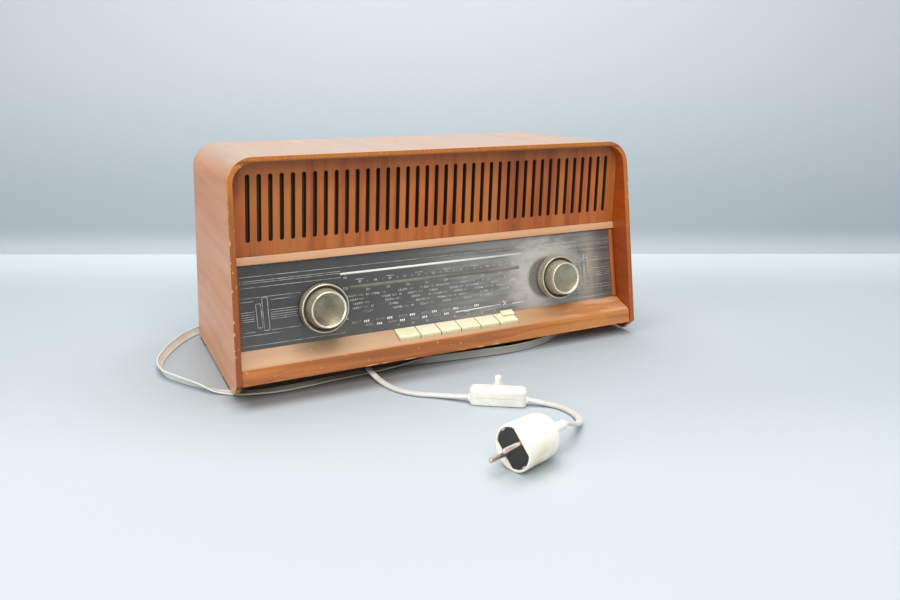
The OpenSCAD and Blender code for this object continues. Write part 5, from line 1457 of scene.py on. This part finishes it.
def make_floor_and_wall():
    """Floor: a level sheet just under the radio that ends square to the view. Wall: an upright sheet behind it."""
    stand = np.array([*CAMERA_PLACE[:2], 0.0])
    nearest, floor_half, wall_half, wall_foot, wall_top = -2.5, 3.0, 4.0, -0.6, 2.6
    reach, wide = np.meshgrid([nearest, TABLE_REACH], [-floor_half, floor_half], indexing="ij")
    floor = stand + reach[..., None] * AHEAD + wide[..., None] * ASIDE
    floor[..., 2] = -0.2 * MM
    surface("floor", floor, finishes=["floor"])
    height, wide = np.meshgrid([wall_foot, wall_top], [-wall_half, wall_half], indexing="ij")
    wall = stand + WALL_REACH * AHEAD + wide[..., None] * ASIDE
    wall[..., 2] = height
    surface("backdrop", wall, finishes=["backdrop"])


def make_lights():
    """A wide soft light overhead and behind, a gentle one from the left front, and an even sky."""
    stage = settings("stage")
    for name, place, aim, width, power in (("Overhead", (0.1, 0.15, 1.9), (0, 0, 0), 1.6, stage.light),
                                           ("Left", (-1.9, -0.5, 0.9), (0, 0, 0.1), 1.2, stage.light * 0.42),
                                           ("Front", (-0.3, -1.5, 1.7), (0, 0, 0.1), 1.3, stage.light * 0.58)):
        lamp = bpy.data.lights.new(name, "AREA")
        lamp.size, lamp.energy = width, power
        lamp.color = screen(255, 250, 243)
        light = bpy.data.objects.new(name, lamp)
        light.location = place
        aimed = np.array(aim, float) - place
        light.rotation_mode = "QUATERNION"
        light.rotation_quaternion = Vector(aimed).to_track_quat("-Z", "Y")
        bpy.context.scene.collection.objects.link(light)
    world = bpy.data.worlds.new("Studio")
    world.use_nodes = True
    sky = next(n for n in world.node_tree.nodes if n.type == "BACKGROUND")
    sky.inputs[0].default_value = (*screen(240, 239, 238), 1.0)
    sky.inputs[1].default_value = 0.5
    bpy.context.scene.world = world
    bpy.context.scene.view_settings.view_transform = "Standard"


# Operators and panel


class RadioOperator(bpy.types.Operator):
    """Common to all the steps that build the radio."""
    bl_options = {"REGISTER", "UNDO"}

    def execute(self, context):
        self.build()
        return {"FINISHED"}


class RADIO_OT_cabinet(RadioOperator):
    """Build the wrapper, the baffle with its cloth, the divider strip and the plinth"""
    bl_idname = "radio.cabinet"
    bl_label = "Cabinet"

    def build(self):
        make_wrapper()
        make_grille_cloth(*make_baffle())
        make_divider()
        make_plinth()


class RADIO_OT_dial(RadioOperator):
    """Build the dial's battens and the print on its glass"""
    bl_idname = "radio.dial"
    bl_label = "Dial"

    def build(self):
        make_dial_battens()
        make_print()


class RADIO_OT_knobs(RadioOperator):
    """Build the two pairs of knobs"""
    bl_idname = "radio.knobs"
    bl_label = "Knobs"

    def build(self):
        make_knobs()


class RADIO_OT_keys(RadioOperator):
    """Build the six piano keys"""
    bl_idname = "radio.keys"
    bl_label = "Keys"

    def build(self):
        make_keys()


class RADIO_OT_leads(RadioOperator):
    """Build the lead switch, the plug, the mains lead with its coil and the ribbon lead"""
    bl_idname = "radio.leads"
    bl_label = "Leads"

    def build(self):
        make_switch()
        make_plug()
        make_leads()


class RADIO_OT_frame_finishes(RadioOperator):
    """Give the frame's own pieces their finishes"""
    bl_idname = "radio.frame_finishes"
    bl_label = "Frame Finishes"

    def build(self):
        dress_frame()


class RADIO_OT_stage(RadioOperator):
    """Set up the camera, the floor, the backdrop and the lights"""
    bl_idname = "radio.stage"
    bl_label = "Stage"

    def build(self):
        make_camera()
        make_floor_and_wall()
        make_lights()


STEPS = (RADIO_OT_stage, RADIO_OT_leads, RADIO_OT_cabinet, RADIO_OT_dial, RADIO_OT_knobs, RADIO_OT_keys,
         RADIO_OT_frame_finishes)


class VIEW3D_PT_radio(bpy.types.Panel):
    """Lists the steps that build the radio, with their settings"""
    bl_idname = "VIEW3D_PT_radio"
    bl_label = "Table Radio"
    bl_space_type = "VIEW_3D"
    bl_region_type = "UI"
    bl_category = "Table Radio"

    def draw(self, context):
        for step in STEPS:
            self.layout.operator(step.bl_idname)
        for group, kind in SETTINGS.items():
            box = self.layout.box()
            box.label(text=group.capitalize())
            for name in kind.__annotations__:
                box.prop(settings(group), name)


def register():
    for kind in (*SETTINGS.values(), *STEPS, VIEW3D_PT_radio):
        bpy.utils.register_class(kind)
    for group, kind in SETTINGS.items():
        setattr(bpy.types.Scene, "radio_" + group, PointerProperty(type=kind))


def unregister():
    for group in SETTINGS:
        delattr(bpy.types.Scene, "radio_" + group)
    for kind in reversed((*SETTINGS.values(), *STEPS, VIEW3D_PT_radio)):
        bpy.utils.unregister_class(kind)


def main():
    register()
    for step in STEPS:
        area, name = step.bl_idname.split(".")
        getattr(getattr(bpy.ops, area), name)()


if __name__ == "__main__":
    main()
